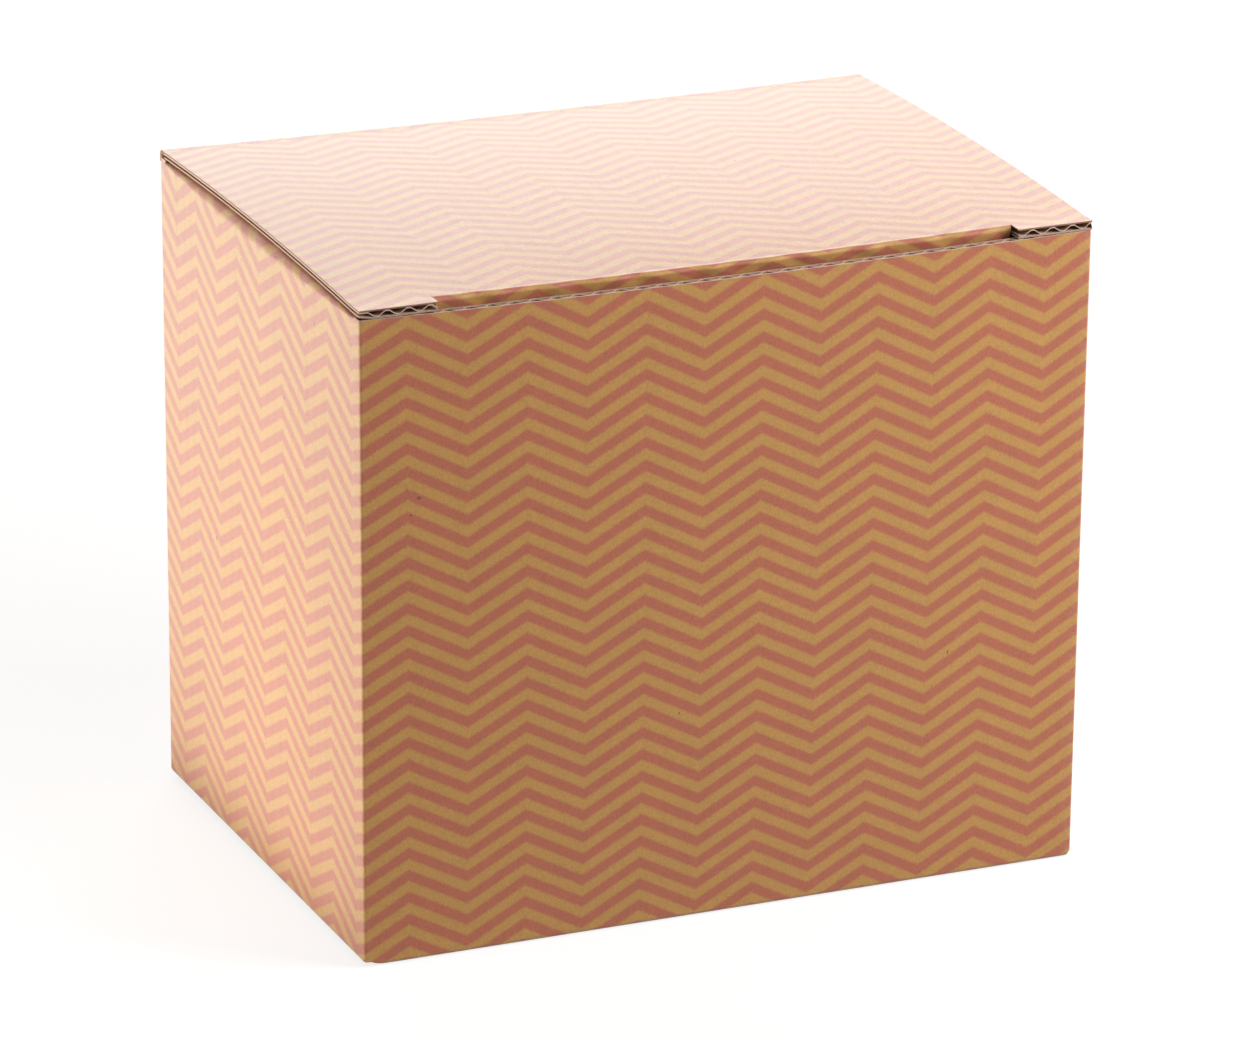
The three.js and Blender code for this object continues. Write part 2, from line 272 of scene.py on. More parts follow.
@dataclass(frozen=True)
class PrintedPaper:
    """Uncoated paper printed with two inks in zigzag stripes. Sizes are those of the lumps of its noises."""

    name: str = "printed_paper"
    first_ink: Colour = linear(219, 161, 81)
    second_ink: Colour = linear(205, 113, 79)
    bare: Colour = linear(226, 196, 168)
    fleck: Colour = linear(92, 62, 44)
    ink_bleed: float = 0.09
    ink_stray: float = 0.12
    stray_size: float = 0.3
    grain_size: float = 0.34
    mottle_size: float = 9.0
    fleck_size: float = 1.3
    rub_size: float = 0.8
    grain_shade: tuple[float, float] = (0.9, 1.09)
    mottle_shade: tuple[float, float] = (-0.025, 0.02)
    fleck_range: tuple[float, float] = (0.9, 0.915)
    fleck_strength: float = 0.7
    rub_range: tuple[float, float] = (0.35, 0.7)
    rub_strength: float = 0.5
    flute_trace: float = 0.006
    grain_depth: float = 0.012
    roughness: float = 0.5
    rough_spread: float = 0.06
    sheen: float = 0.7
    gloss: float = 0.55
    flutes_per_repeat: float = 5.6

    def stripes(self, sketch: Sketch, place: Socket, across: Socket, down: Socket) -> Socket:
        """Draws the zigzag.

        Args:
            sketch: Nodes of the material.
            place: Object coordinates.
            across: Count of zigzags.
            down: Count of pairs of stripes.

        Returns:
            The colour of the ink: the stripes' count, strayed by a fine noise, falls nearer to a whole number
            or nearer to a half.
        """
        saw = sketch.math("MULTIPLY_ADD", sketch.math("FRACT", across), 2.0, -1.0)
        triangle = sketch.math("ABSOLUTE", saw)
        stray = sketch.math("SUBTRACT", sketch.noise(place, self.stray_size), 0.5)
        count = sketch.math("MULTIPLY_ADD", triangle, Chevron.swing, down)
        count = sketch.math("MULTIPLY_ADD", stray, self.ink_stray, count)
        middle = sketch.math("ABSOLUTE", sketch.math("SUBTRACT", sketch.math("FRACT", count), 0.5))
        stripe = sketch.band(middle, 0.25 - self.ink_bleed, 0.25 + self.ink_bleed, 0.0, 1.0)
        return sketch.mix(stripe, self.second_ink, self.first_ink)

    def material(self) -> bpy.types.Material:
        """Makes the zigzag from the print map, with mottle, grain, flecks and rubbed creases over it.

        Returns:
            The material, with a faint relief of the grain and of the flutes.
        """
        made = bpy.data.materials.new(self.name)
        sketch = Sketch(made)
        place = sketch.node("TexCoord", {}, "Object")
        drawing = sketch.node("UVMap", {}, "UV", uv_map="print")
        across, down = (sketch.node("SeparateXYZ", {0: drawing}, axis) for axis in "XY")
        colour = self.stripes(sketch, place, across, down)
        grain = sketch.noise(place, self.grain_size)
        mottle = sketch.band(sketch.noise(place, self.mottle_size, 3.0), 0.3, 0.7, *self.mottle_shade)
        shade = sketch.math("ADD", sketch.band(grain, 0.25, 0.75, *self.grain_shade), mottle)
        colour = sketch.mix(1.0, colour, shade, "MULTIPLY")
        spots = sketch.noise(place, self.fleck_size, 0.0)
        fleck = sketch.band(spots, *self.fleck_range, 0.0, self.fleck_strength)
        colour = sketch.mix(fleck, colour, self.fleck)
        worn = sketch.node("Attribute", {}, "Fac", attribute_name="wear")
        rubs = sketch.noise(place, self.rub_size, 4.0)
        patchy = sketch.band(rubs, *self.rub_range, 0.0, self.rub_strength)
        colour = sketch.mix(sketch.math("MULTIPLY", worn, patchy), colour, self.bare)
        flutes = sketch.math("SINE", sketch.math("MULTIPLY", across, self.flutes_per_repeat * math.tau))
        normal = sketch.bump(grain, self.grain_depth, sketch.bump(flutes, self.flute_trace))
        dull, smooth = self.roughness + self.rough_spread, self.roughness - self.rough_spread
        rough = sketch.band(grain, 0.2, 0.8, dull, smooth)
        sketch.paper(colour, rough, normal, self.sheen, self.gloss)
        return made


@dataclass(frozen=True)
class PlainPaper:
    """Unprinted paper: the lining, the fluting or a raw cut edge."""

    name: str
    colour: Colour
    dark: Colour
    fibre: float = 0.3
    roughness: float = 0.8
    sheen: float = 0.1
    gloss: float = 0.25
    fibre_squash: float = 0.25
    streak_range: tuple[float, float] = (0.42, 0.72)
    streak_strength: float = 0.8
    cloud_size: float = 6.0
    cloud_shade: tuple[float, float] = (0.6, 1.0)
    rough_spread: float = 0.05
    tooth: float = 0.04

    def material(self) -> bpy.types.Material:
        """Makes cloudy pulp with short darker fibres.

        Returns:
            The material, with a fine tooth.
        """
        made = bpy.data.materials.new(self.name)
        sketch = Sketch(made)
        place = sketch.node("TexCoord", {}, "Object")
        upright = sketch.node("Mapping", {"Vector": place, "Scale": (1.0, 1.0, self.fibre_squash)})
        fibres = sketch.noise(upright, self.fibre, 4.0)
        cloud = sketch.noise(place, self.cloud_size, 3.0)
        streaks = sketch.band(fibres, *self.streak_range, 0.0, self.streak_strength)
        clouds = sketch.band(cloud, 0.2, 0.8, *self.cloud_shade)
        colour = sketch.mix(sketch.math("MULTIPLY", streaks, clouds), self.colour, self.dark)
        smooth, dull = self.roughness - self.rough_spread, self.roughness + self.rough_spread
        rough = sketch.band(cloud, 0.2, 0.8, smooth, dull)
        sketch.paper(colour, rough, sketch.bump(fibres, self.tooth), self.sheen, self.gloss)
        return made


class Finishes:
    """The papers of the box, made once: each as the materials of its face, its back and its cut edge."""

    def __init__(self) -> None:
        """Makes the paper materials."""
        inks = PrintedPaper().material()
        plain = {
            "kraft_lining": ((200, 165, 125), (160, 122, 84), 0.3, 0.8),
            "fluting_paper": ((204, 164, 136), (172, 132, 106), 0.25, 0.9),
            "hidden_face": ((216, 174, 146), (186, 144, 118), 0.3, 0.9),
            "cut_edge": ((236, 210, 194), (204, 174, 156), 0.12, 0.85),
            # painted light: the walls' printed cut edge is a paler copy of the printed liner's edge,
            # brightened to look lit where it sits in the lid's shade
            "painted_light_wall_edge": ((242, 222, 208), (214, 188, 170), 0.12, 0.85),
            # painted shade: the same printed cut edge, darker, for the lid, flaps and folds, where it faces
            # away from the light
            "painted_shade_print_edge": ((176, 132, 104), (150, 106, 80), 0.12, 0.85),
            "cut_lining": ((212, 180, 160), (180, 146, 126), 0.12, 0.85),
        }
        lining, flutes, hidden, cut_edge, painted_light_wall_edge, painted_shade_print_edge, cut_lining = (
            PlainPaper(name, linear(*pale), linear(*dark), fibre, roughness).material()
            for name, (pale, dark, fibre, roughness) in plain.items()
        )
        # the printed pieces' cut edge is the painted-shade copy of the printed edge
        self.of_print = [inks, hidden, painted_shade_print_edge]
        # the walls' cut edge is the painted-light copy of the printed edge
        self.of_walls = [inks, lining, painted_light_wall_edge]
        self.of_flutes = [flutes, flutes, cut_edge]
        self.of_lining = [hidden, lining, cut_lining]


def normals(points: np.ndarray) -> np.ndarray:
    """Unit normals of a grid of points: the cross product of its two tangents.

    Args:
        points: Rows by columns by 3.

    Returns:
        Unit vectors of the same shape, to the left of the way that the columns run as the rows go up.
    """
    normal = np.cross(np.gradient(points, axis=1), np.gradient(points, axis=0))
    return normal / np.maximum(np.linalg.norm(normal, axis=-1, keepdims=True), TINY)


def way_along(points: np.ndarray) -> np.ndarray:
    """Adds up the way along a path.

    Args:
        points: Points of the path, or a grid whose rows follow it.

    Returns:
        Way up to each point, or up to each row as the mean of the grid's columns.
    """
    step = np.linalg.norm(np.diff(points, axis=0), axis=-1)
    step = step if step.ndim == 1 else step.mean(axis=1)
    return np.concatenate([[0], np.cumsum(step)])


def carried(run: np.ndarray, out: np.ndarray, height: np.ndarray, wide: bool = True) -> np.ndarray:
    """Points of a section carried along X, or along Y where it isn't wide."""
    a, b, c = np.broadcast_arrays(run, out, height)
    return np.stack((a, b, c) if wide else (b, a, c), -1)


def quarter_fold(
    wall: np.ndarray,
    foot: float,
    top: np.ndarray,
    radius: np.ndarray | float,
    end: float,
    cells: int,
    turns: int,
) -> tuple[np.ndarray, np.ndarray]:
    """Section of a fold at a wall's top: up the wall, a quarter round and level to the flap.

    Args:
        wall: Way out to the wall's face, at each place along the fold.
        foot: Height at which the fold starts.
        top: Height of the level part, at each place along the fold.
        radius: Radius of the round.
        end: Way out at which the level part ends.
        cells: Count of cells up the wall, and again along the level part.
        turns: Count of points on the round.

    Returns:
        Ways out and heights, in rows over the fold.
    """
    part = np.linspace(0, 1, cells + 1)[:, None]
    turn = np.linspace(0, QUARTER, turns)[:, None]
    near, low = wall - radius, top - radius
    rising, going_in = foot + (low - foot) * part[:-1], near + (end - near) * part[1:]
    out = np.concatenate([wall + 0 * part[:-1], near + radius * np.cos(turn), going_in])
    height = np.concatenate([rising, low + radius * np.sin(turn), top + 0 * part[1:]])
    return out, height


def waver(
    run: np.ndarray, periods: tuple[float, float], weaker: float = 0.6, shift: float = 1.0
) -> np.ndarray:
    """Unevenness of a crease along its length: a sine and a weaker, shifted one."""
    first, second = (run * math.tau / period for period in periods)
    return np.sin(first) + weaker * np.sin(second + shift)


@dataclass(frozen=True)
class OutOfSquare:
    """How far the folded box stands out of square: each corner's offset, blended linearly in between.

    The corners run left to right fastest, then front to back, then bottom to top.
    """

    half: Spot = tuple(float(v) / MM for v in CAD_BOX[1])
    corners: tuple[Spot, ...] = (
        (0.35, 0.0, 0.0),
        (-0.2, 0.0, 0.0),
        (0.0, 0.0, 0.0),
        (0.0, 0.0, 0.0),
        (0.0, 0.0, 0.0),
        (0.3, 0.0, 0.0),
        (-0.27, 0.0, 0.65),
        (0.3, 0.0, 0.0),
    )

    def move(self, points: np.ndarray) -> np.ndarray:
        """Moves points by each corner's offset times the product of their three shares towards it.

        Args:
            points: Points as rows of 3.

        Returns:
            The moved points.
        """
        share = np.clip(points / np.array(self.half), -1, 1)
        x, y = (1 + share[:, 0]) / 2, (1 + share[:, 1]) / 2
        ways = [np.stack([1 - way, way]) for way in (np.clip(share[:, 2], 0, 1), y, x)]
        weights = np.einsum("in,jn,kn->nijk", *ways).reshape(len(points), len(self.corners))
        return points + weights @ np.array(self.corners)


@dataclass
class Sheet:
    """A closed paper between two like grids of points."""

    face: np.ndarray
    back: np.ndarray
    spots: np.ndarray | None = None
    kept: np.ndarray | None = None
    wear: np.ndarray | None = None

    def __post_init__(self) -> None:
        """Prints nothing, keeps every cell and wears nothing unless told otherwise."""
        rows, columns = self.face.shape[:2]
        self.spots = np.zeros((rows, columns, 2)) if self.spots is None else self.spots
        self.kept = np.ones((rows - 1, columns - 1), bool) if self.kept is None else self.kept
        self.wear = np.zeros((rows, columns)) if self.wear is None else self.wear

    @classmethod
    def behind(
        cls,
        face: np.ndarray,
        thickness: np.ndarray | float,
        outward: Spot,
        spots: np.ndarray,
        wear: np.ndarray | float = 0.0,
    ) -> "Sheet":
        """A paper whose back lies behind its face along the face's normals.

        Args:
            face: Grid of the face.
            thickness: Thickness of the paper, as one value or by row.
            outward: Direction in which most of the face looks.
            spots: Print of the face.
            wear: How rubbed it is, as one value or by row.

        Returns:
            The sheet.
        """
        normal = normals(face)
        normal = normal * np.sign(np.sum(normal @ np.array(outward)))
        back = face - np.asarray(thickness)[..., None] * normal
        return cls(face, back, spots, wear=np.broadcast_to(wear, face.shape[:2]))

    def quads(self) -> tuple[np.ndarray, np.ndarray]:
        """Faces of the sheet and the finish of each.

        A kept cell gives one quad on the face and one, turned over, on the back. Where a kept cell's
        neighbour is missing, a quad joins the two grids along that edge.

        Returns:
            Quads as rows of four point numbers, and 0, 1 or 2 for face, back or cut edge.
        """
        rows, columns = self.face.shape[:2]
        count = rows * columns
        number = np.arange(count).reshape(rows, columns)
        a, b, c, d = number[:-1, :-1], number[:-1, 1:], number[1:, 1:], number[1:, :-1]
        fence = np.pad(self.kept, 1)
        face = np.stack([a, b, c, d], -1)[self.kept]
        parts = [face, face[:, ::-1] + count]
        neighbours = (fence[:-2, 1:-1], fence[1:-1, 2:], fence[2:, 1:-1], fence[1:-1, :-2])
        for first, second, neighbour in zip((a, b, c, d), (b, c, d, a), neighbours):
            edge = self.kept & ~neighbour
            parts.append(np.stack([second[edge], first[edge], first[edge] + count, second[edge] + count], -1))
        finish = np.concatenate([np.full(len(part), min(i, 2)) for i, part in enumerate(parts)])
        quads = np.concatenate(parts)
        facing = np.sum(normals(self.face) * (self.face - self.back))
        return (quads if facing > 0 else quads[:, ::-1]), finish

    def piece(self, name: str, finishes: list[bpy.types.Material]) -> bpy.types.Object:
        """Writes the sheet as a mesh object, with its print map and its wear.

        Args:
            name: Name of the piece.
            finishes: Materials of the face, the back and the cut edge.

        Returns:
            The new object, at the origin.
        """
        quads, finish = self.quads()
        used, quads = np.unique(quads, return_inverse=True)
        quads = quads.reshape(-1, 4)
        points = np.concatenate([self.face.reshape(-1, 3), self.back.reshape(-1, 3)])[used]
        points = OutOfSquare().move(points) * MM
        spots = np.tile(self.spots.reshape(-1, 2), (2, 1))[used]
        wear = np.tile(self.wear.ravel(), 2)[used]
        mesh = bpy.data.meshes.new(name)
        mesh.from_pydata(points.tolist(), [], quads.tolist())
        for material in finishes:
            mesh.materials.append(material)
        mesh.polygons.foreach_set("material_index", finish.astype(np.int32))
        mesh.polygons.foreach_set("use_smooth", np.ones(len(quads), bool))
        corner = np.empty(len(mesh.loops), np.int32)
        mesh.loops.foreach_get("vertex_index", corner)
        mesh.uv_layers.new(name="print").data.foreach_set("uv", spots[corner].astype(np.float32).ravel())
        mesh.attributes.new("wear", "FLOAT", "POINT").data.foreach_set("value", wear.astype(np.float32))
        mesh.set_sharp_from_angle(angle=SHARP_EDGE)
        mesh.update()
        made = bpy.data.objects.new(name, mesh)
        bpy.context.scene.collection.objects.link(made)
        return made


def keep(piece: bpy.types.Object, body: str, slot: Slot, *nodes: str) -> None:
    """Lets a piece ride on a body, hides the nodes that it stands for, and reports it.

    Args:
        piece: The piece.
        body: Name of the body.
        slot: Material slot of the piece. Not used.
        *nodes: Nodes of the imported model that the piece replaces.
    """
    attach(piece, body)
    if nodes:
        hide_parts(*nodes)
    log.info("%s rides on %s", piece.name, body)


def bend(piece: bpy.types.Object, bodies: tuple[str, str], start: Spot, end: Spot, *nodes: str) -> None:
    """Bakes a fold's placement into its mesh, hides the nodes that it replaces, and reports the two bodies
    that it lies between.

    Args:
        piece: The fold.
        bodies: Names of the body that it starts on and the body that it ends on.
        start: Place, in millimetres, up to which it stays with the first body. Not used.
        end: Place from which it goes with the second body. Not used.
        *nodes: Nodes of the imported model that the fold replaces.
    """
    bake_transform(piece)
    if nodes:
        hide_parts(*nodes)
    log.info("%s bends from %s to %s", piece.name, *bodies)


@dataclass(frozen=True)
class Board:
    """Corrugated board: depths are measured inwards from its printed face."""

    liner: float = 0.25
    fluting: float = 0.2
    pitch: float = 3.4
    thickness: float = 1.6
    swing: float = 0.43
    flank: float = 0.15
    steps_per_flute: int = 16
    grid: float = 2.5

    @property
    def lining_depth(self) -> float:
        """Depth at which the lining starts."""
        return self.thickness - self.liner

    @property
    def wave_step(self) -> float:
        """Way between two columns of the waved sheet."""
        return self.pitch / self.steps_per_flute

    def wave(self, across: np.ndarray, crest: float) -> np.ndarray:
        """Depth of the fluting's middle: straight flanks between flats, nearest the print at a crest."""
        turn = np.abs((across - crest) / self.pitch - np.round((across - crest) / self.pitch))
        return self.thickness / 2 - self.swing * np.clip((0.25 - turn) / self.flank, -1, 1)


@dataclass
class Plan:
    """Outline of a flap, as rows along its flutes and bands across them.

    Each band runs from one edge to the next, and an edge is a value for every row. A band may be left out of
    some rows, which makes a notch, a recess or a tongue.
    """

    rows: np.ndarray
    edges: list[np.ndarray]
    kept: tuple[np.ndarray | bool, ...] = (True,)

    def spread(self, step: float) -> tuple[np.ndarray, np.ndarray, np.ndarray]:
        """Fills the outline with a grid.

        Args:
            step: Widest way between two columns.

        Returns:
            Places across, reaches, and which cells are kept.
        """
        across, kept = [], []
        for i, (low, high, stays) in enumerate(zip(self.edges[:-1], self.edges[1:], self.kept)):
            cells = max(1, math.ceil(np.max(high - low) / step))
            share = np.linspace(0, 1, cells + 1)[1 if i else 0:]
            across.append(low[:, None] + share * (high - low)[:, None])
            stays = np.broadcast_to(stays, len(self.rows) - 1)
            kept.append(np.repeat(stays[:, None], cells, axis=1))
        places = np.concatenate(across, axis=1)
        reach = np.broadcast_to(self.rows[:, None], places.shape)
        return places, reach, np.concatenate(kept, axis=1)


def steps(*marks: float, widest: float = 4.0) -> np.ndarray:
    """Values from the first mark to the last that hit every mark and are at most a given way apart."""
    runs = [np.linspace(a, b, max(2, math.ceil((b - a) / widest) + 1)) for a, b in zip(marks[:-1], marks[1:])]
    return np.unique(np.round(np.concatenate(runs), 6))


def rounding(reach: np.ndarray, end: float, radius: float) -> np.ndarray:
    """How far a round corner at the end of a flap draws its side edge in, at each reach."""
    past = np.clip(reach - (end - radius), 0, radius)
    return radius - np.sqrt(radius**2 - past**2)


def round_rows(end: float, radius: float, count: int = 8) -> np.ndarray:
    """Reaches that follow a round corner at the end of a flap in equal turns."""
    return end - radius + radius * np.sin(np.linspace(0, QUARTER, count))


def merged(*rows: np.ndarray) -> np.ndarray:
    """All rows of several sets, in order."""
    return np.unique(np.concatenate(rows))


def level(across: np.ndarray, reach: np.ndarray) -> np.ndarray:
    """No rise at all."""
    return np.zeros_like(across + reach)


def as_made(across: np.ndarray, reach: np.ndarray, depth: np.ndarray) -> np.ndarray:
    """Depth in a board that nothing has crushed."""
    return depth


@dataclass
class Panel:
    """A flat or gently bent panel of board, made as its three papers.

    Its axes run across the flutes, along them and outwards. Past a given way to either side the fluting is
    pressed against the print, and past another to the right it crosses over to the lining and closes the end.
    """

    name: str
    body: str
    origin: Spot
    axes: tuple[Spot, Spot, Spot]
    plan: Plan
    spots: Field
    rise: Field = level
    crush: Crush = as_made
    crest: float = 0.0
    pressed: float = math.inf
    closed: float = math.inf
    press_run: float = 0.5
    close_run: float = 0.2
    slots: tuple[Slot, Slot, Slot] = (Slot.PRINT, Slot.FLUTES, Slot.LINING)
    nodes: tuple[str, ...] | None = None

    def __post_init__(self) -> None:
        """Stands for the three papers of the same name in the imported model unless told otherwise."""
        if self.nodes is None:
            self.nodes = tuple(f"{self.name}_{paper}" for paper in ("outer_liner", "fluting", "inner_liner"))

    def place(self, across: np.ndarray, reach: np.ndarray, depth: np.ndarray) -> np.ndarray:
        """Puts points of the board in their place.

        Args:
            across: Ways across the flutes.
            reach: Ways along the flutes.
            depth: Depths in the board.

        Returns:
            The origin, plus the ways across, along and outwards, the last being the rise less the depth.
        """
        ways = (across, reach, self.rise(across, reach) - self.crush(across, reach, depth))
        moves = (way[..., None] * np.array(axis) for way, axis in zip(ways, self.axes))
        return np.array(self.origin) + sum(moves)

    def wave(self, board: Board, across: np.ndarray) -> np.ndarray:
        """Depth of the fluting's middle, pressed and closed as the class says.

        Args:
            board: The board.
            across: Ways across the flutes.

        Returns:
            The depths, each blended linearly over a short run.
        """
        depth = board.wave(across, self.crest)
        share = np.clip((np.abs(across) - self.pressed) / self.press_run, 0, 1)
        depth = depth + (board.liner + board.fluting / 2 - depth) * share
        share = np.clip((across - self.closed) / self.close_run, 0, 1)
        return depth + (board.lining_depth - board.fluting / 2 - depth) * share

    def build(self, board: Board, finishes: Finishes) -> None:
        """Makes the three papers, each between two depths, and lets them ride on the panel's body.

        Args:
            board: The board.
            finishes: The papers' materials.
        """
        half = board.fluting / 2
        papers = (
            ("print", board.grid, 0.0, (0.0, board.liner), finishes.of_print),
            ("flutes", board.wave_step, 1.0, (-half, half), finishes.of_flutes),
            ("lining", board.grid, 0.0, (board.lining_depth, board.thickness), finishes.of_lining),
        )
        for (paper, step, waved, depths, dress), slot, node in zip(papers, self.slots, self.nodes):
            across, reach, kept = self.plan.spread(step)
            wave = waved * self.wave(board, across)
            face, back = (self.place(across, reach, wave + depth) for depth in depths)
            piece = Sheet(face, back, self.spots(across, reach), kept).piece(f"{self.name}_{paper}", dress)
            keep(piece, self.body, slot, *([node] if node else []))


@dataclass
class Sizes:
    """Main sizes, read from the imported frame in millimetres."""

    half_width: float
    half_depth: float
    height: float
    wall_top: float
    side_top: float
    side_foot: float
    lid_back: float
    notch_front: float
    tuck_half: float
    seam_x: float
    seam_y: float
    joints: dict[str, np.ndarray]

    @classmethod
    def from_frame(cls) -> "Sizes":
        """Reads the boxes of a few nodes and the joints' places.

        Returns:
            The sizes.
        """

        def at(node: str) -> list[list[float]]:
            """Low and high corner of a node's box."""
            return [[float(v) / MM for v in corner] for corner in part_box(node)]

        low, high = at("lid_outer_liner")
        left_low, left_high = at("left_wall_outer_liner")
        joints = {joint["name"]: np.array(joint["pos_m"]) / MM for joint in frame["joints"]}
        return cls(
            half_width=high[0],
            half_depth=-low[1],
            height=high[2],
            wall_top=at("front_wall_outer_liner")[1][2],
            side_top=left_high[2],
            side_foot=left_low[2],
            lid_back=high[1],
            notch_front=float(joints["tuck_fold"][1] + joints["lid_fold"][1] - high[1]),
            tuck_half=at("tuck_flap_outer_liner")[1][0],
            seam_x=at("back_wall_outer_liner")[1][0],
            seam_y=at("glue_flap_inner_liner")[0][1],
            joints=joints,
        )

    @property
    def crease_reach(self) -> float:
        """Way from a crease's axis to the flat of its flap."""
        return float(self.joints["lid_fold"][1] - self.lid_back)

    @property
    def layer(self) -> float:
        """Way from the top of the walls to the top of the lid: one board and its clearance."""
        return self.height - self.wall_top

    def half(self, side: Side) -> float:
        """Half of a wall's width."""
        return self.half_width if side.wide else self.half_depth

    def face(self, side: Side) -> float:
        """Way from the middle of the box to a wall's printed face."""
        return self.half_depth if side.wide else self.half_width

    def way_round(self, side: Side, across: np.ndarray) -> np.ndarray:
        """Way round the sleeve of places on a wall.

        Args:
            side: The wall.
            across: X of places on the front or back wall, Y of places on a side wall.

        Returns:
            The way from the front left corner, negative over the left and back walls.
        """
        wide, deep = self.half_width, self.half_depth
        return {
            Side.FRONT: across + wide,
            Side.BACK: -2 * deep - wide - across,
            Side.LEFT: -(across + deep),
            Side.RIGHT: 2 * wide + across + deep,
        }[side]


@dataclass
class BoxPart:
    """What every part of the box is made to: its sizes, the board, the print and the papers."""

    sizes: Sizes
    board: Board
    chevron: Chevron
    finishes: Finishes


@dataclass
class Ring:
    """Points round the sleeve, with their outward directions, bows at full height and ways round."""

    points: np.ndarray
    outwards: np.ndarray
    bows: np.ndarray
    way: np.ndarray


@dataclass
class Sleeve(BoxPart):
    """The four walls: one printed paper round the box, a lining inside it and the fluting of each wall.

    Seen from above the sleeve is a rectangle with small rounds. Each wall also bows outwards a little, most
    in the middle of its width, and is held straight at its foot.
    """

    corner: float = 0.5
    lining_corner: float = 0.2
    corner_foot: float = 0.85
    back_foot: float = 0.9
    slit: float = 2.2
    fold_relief: float = 1.3
    right_relief: float = 0.45
    side_relief: float = 0.5
    fold_round: float = 0.75
    side_low: float = 0.5
    front_rise: float = 0.35
    back_rise: float = 0.65
    flute_gap: float = 0.05
    rub: float = 0.3
    rub_width: float = 0.2
    rub_turns: tuple[float, float] = (0.01, 1.0)
    bows: dict[Side, float] = field(
        default_factory=lambda: {Side.BACK: 0.2, Side.LEFT: 0.5, Side.FRONT: 1.5, Side.RIGHT: 0.5}
    )

    @property
    def wall_foot(self) -> float:
        """Height at which the front and back walls start to turn under."""
        return self.fold_round

    @property
    def side_foot(self) -> float:
        """Height at which the side walls start to turn under."""
        return self.side_low + self.fold_round

    def hold(self, height: np.ndarray) -> np.ndarray:
        """Share of the bow at each height: none at the foot, nearly all from the middle up."""
        share = np.clip((height - self.side_foot) / (self.sizes.wall_top - self.side_foot), 0, 1)
        return 1 - (1 - share) ** 4

    def bow(self, side: Side, across: np.ndarray, height: np.ndarray | float) -> np.ndarray:
        """How far a wall stands proud: its bow times 1 - t squared, t running from -1 to 1 across it."""
        share = np.clip(across / (self.sizes.half(side) - self.corner), -1, 1)
        return self.bows[side] * (1 - share**2) * self.hold(height)

    def marks(self, side: Side) -> list[float]:
        """Finds where a wall's edges step.

        Args:
            side: The wall.

        Returns:
            Places across it, in order.
        """
        limit = self.sizes.half(side)
        if side.wide:
            return [self.fold_relief - limit, limit - self.right_relief]
        return sorted(sign * (limit - end) for end in (self.side_relief, self.slit) for sign in (-1, 1))

    def around(self, inset: float, corner: float) -> Ring:
        """Goes round the sleeve, from the raw edge of the back wall to the seam at the right wall's end.

        Args:
            inset: Way from the printed face inwards.
            corner: Radius of the upright corners at that depth.

        Returns:
            Straight runs over the walls, with a quarter round after each but the last.
        """
        size = self.sizes
        x, y = size.half_width - inset, size.half_depth - inset
        walls = (
            (Side.BACK, (size.seam_x, y), (corner - x, y), (0, 1)),
            (Side.LEFT, (-x, y - corner), (-x, corner - y), (-1, 0)),
            (Side.FRONT, (corner - x, -y), (x - corner, -y), (0, -1)),
            (Side.RIGHT, (x, corner - y), (x, size.seam_y), (1, 0)),
        )
        turn = np.linspace(0, QUARTER, 9)[1:-1]
        points, outwards, bows = [], [], []
        for side, start, end, outward in walls:
            axis = 0 if side.wide else 1
            low, high = sorted((start[axis], end[axis]))
            marks = (mark for mark in self.marks(side) if low < mark < high)
            run = steps(low, *marks, high, widest=self.board.grid)
            run = run if start[axis] == low else run[::-1]
            line = np.tile(np.array(start, float), (len(run), 1))
            line[:, axis] = run
            points.append(line)
            outwards.append(np.tile(np.array(outward, float), (len(run), 1)))
            bows.append(self.bow(side, run, size.wall_top))
            if side is not Side.RIGHT:
                spin = math.atan2(outward[1], outward[0]) + turn
                ray = np.stack((np.cos(spin), np.sin(spin)), -1)
                points.append(np.array(end) - corner * np.array(outward) + corner * ray)
                outwards.append(ray)
                bows.append(np.zeros(len(turn)))
        points = np.concatenate(points)
        way = way_along(points)
        nearest = np.argmin(np.linalg.norm(points - np.array([-x, -y]), axis=1))
        return Ring(points, np.concatenate(outwards), np.concatenate(bows), way - way[nearest])

    def to_end(self, points: np.ndarray) -> tuple[np.ndarray, np.ndarray]:
        """Measures points round the sleeve towards the nearest corner.

        Args:
            points: Points round the sleeve.

        Returns:
            Whether each is on the front or back wall, and its way to the corner.
        """
        left = np.array([self.sizes.half_width, self.sizes.half_depth]) - np.abs(points)
        wide = left[:, 1] < left[:, 0]
        return wide, np.where(wide, left[:, 0], left[:, 1])

    def foot(self, points: np.ndarray) -> np.ndarray:
        """Lower edge of the paper: level along a wall, and ramped to another height at the corners.

        Args:
            points: Points round the sleeve.

        Returns:
            Height of the edge at each point.
        """
        wide, left = self.to_end(points)
        flat = np.where(wide, self.wall_foot, self.side_foot)
        relief = np.where(points[:, 0] > 0, self.right_relief, self.fold_relief)
        share = np.clip(left / np.where(wide, relief, self.side_relief), 0, 1)
        corner = np.where(points[:, 1] > 0, self.back_foot, self.corner_foot)
        return corner + (flat - corner) * share

    def top(self, points: np.ndarray) -> np.ndarray:
        """Highest place of the paper between each two neighbours: past a slit, the side walls are lower."""
        wide, left = self.to_end((points[1:] + points[:-1]) / 2)
        return np.where(wide | (left < self.slit), self.sizes.wall_top, self.sizes.side_top)

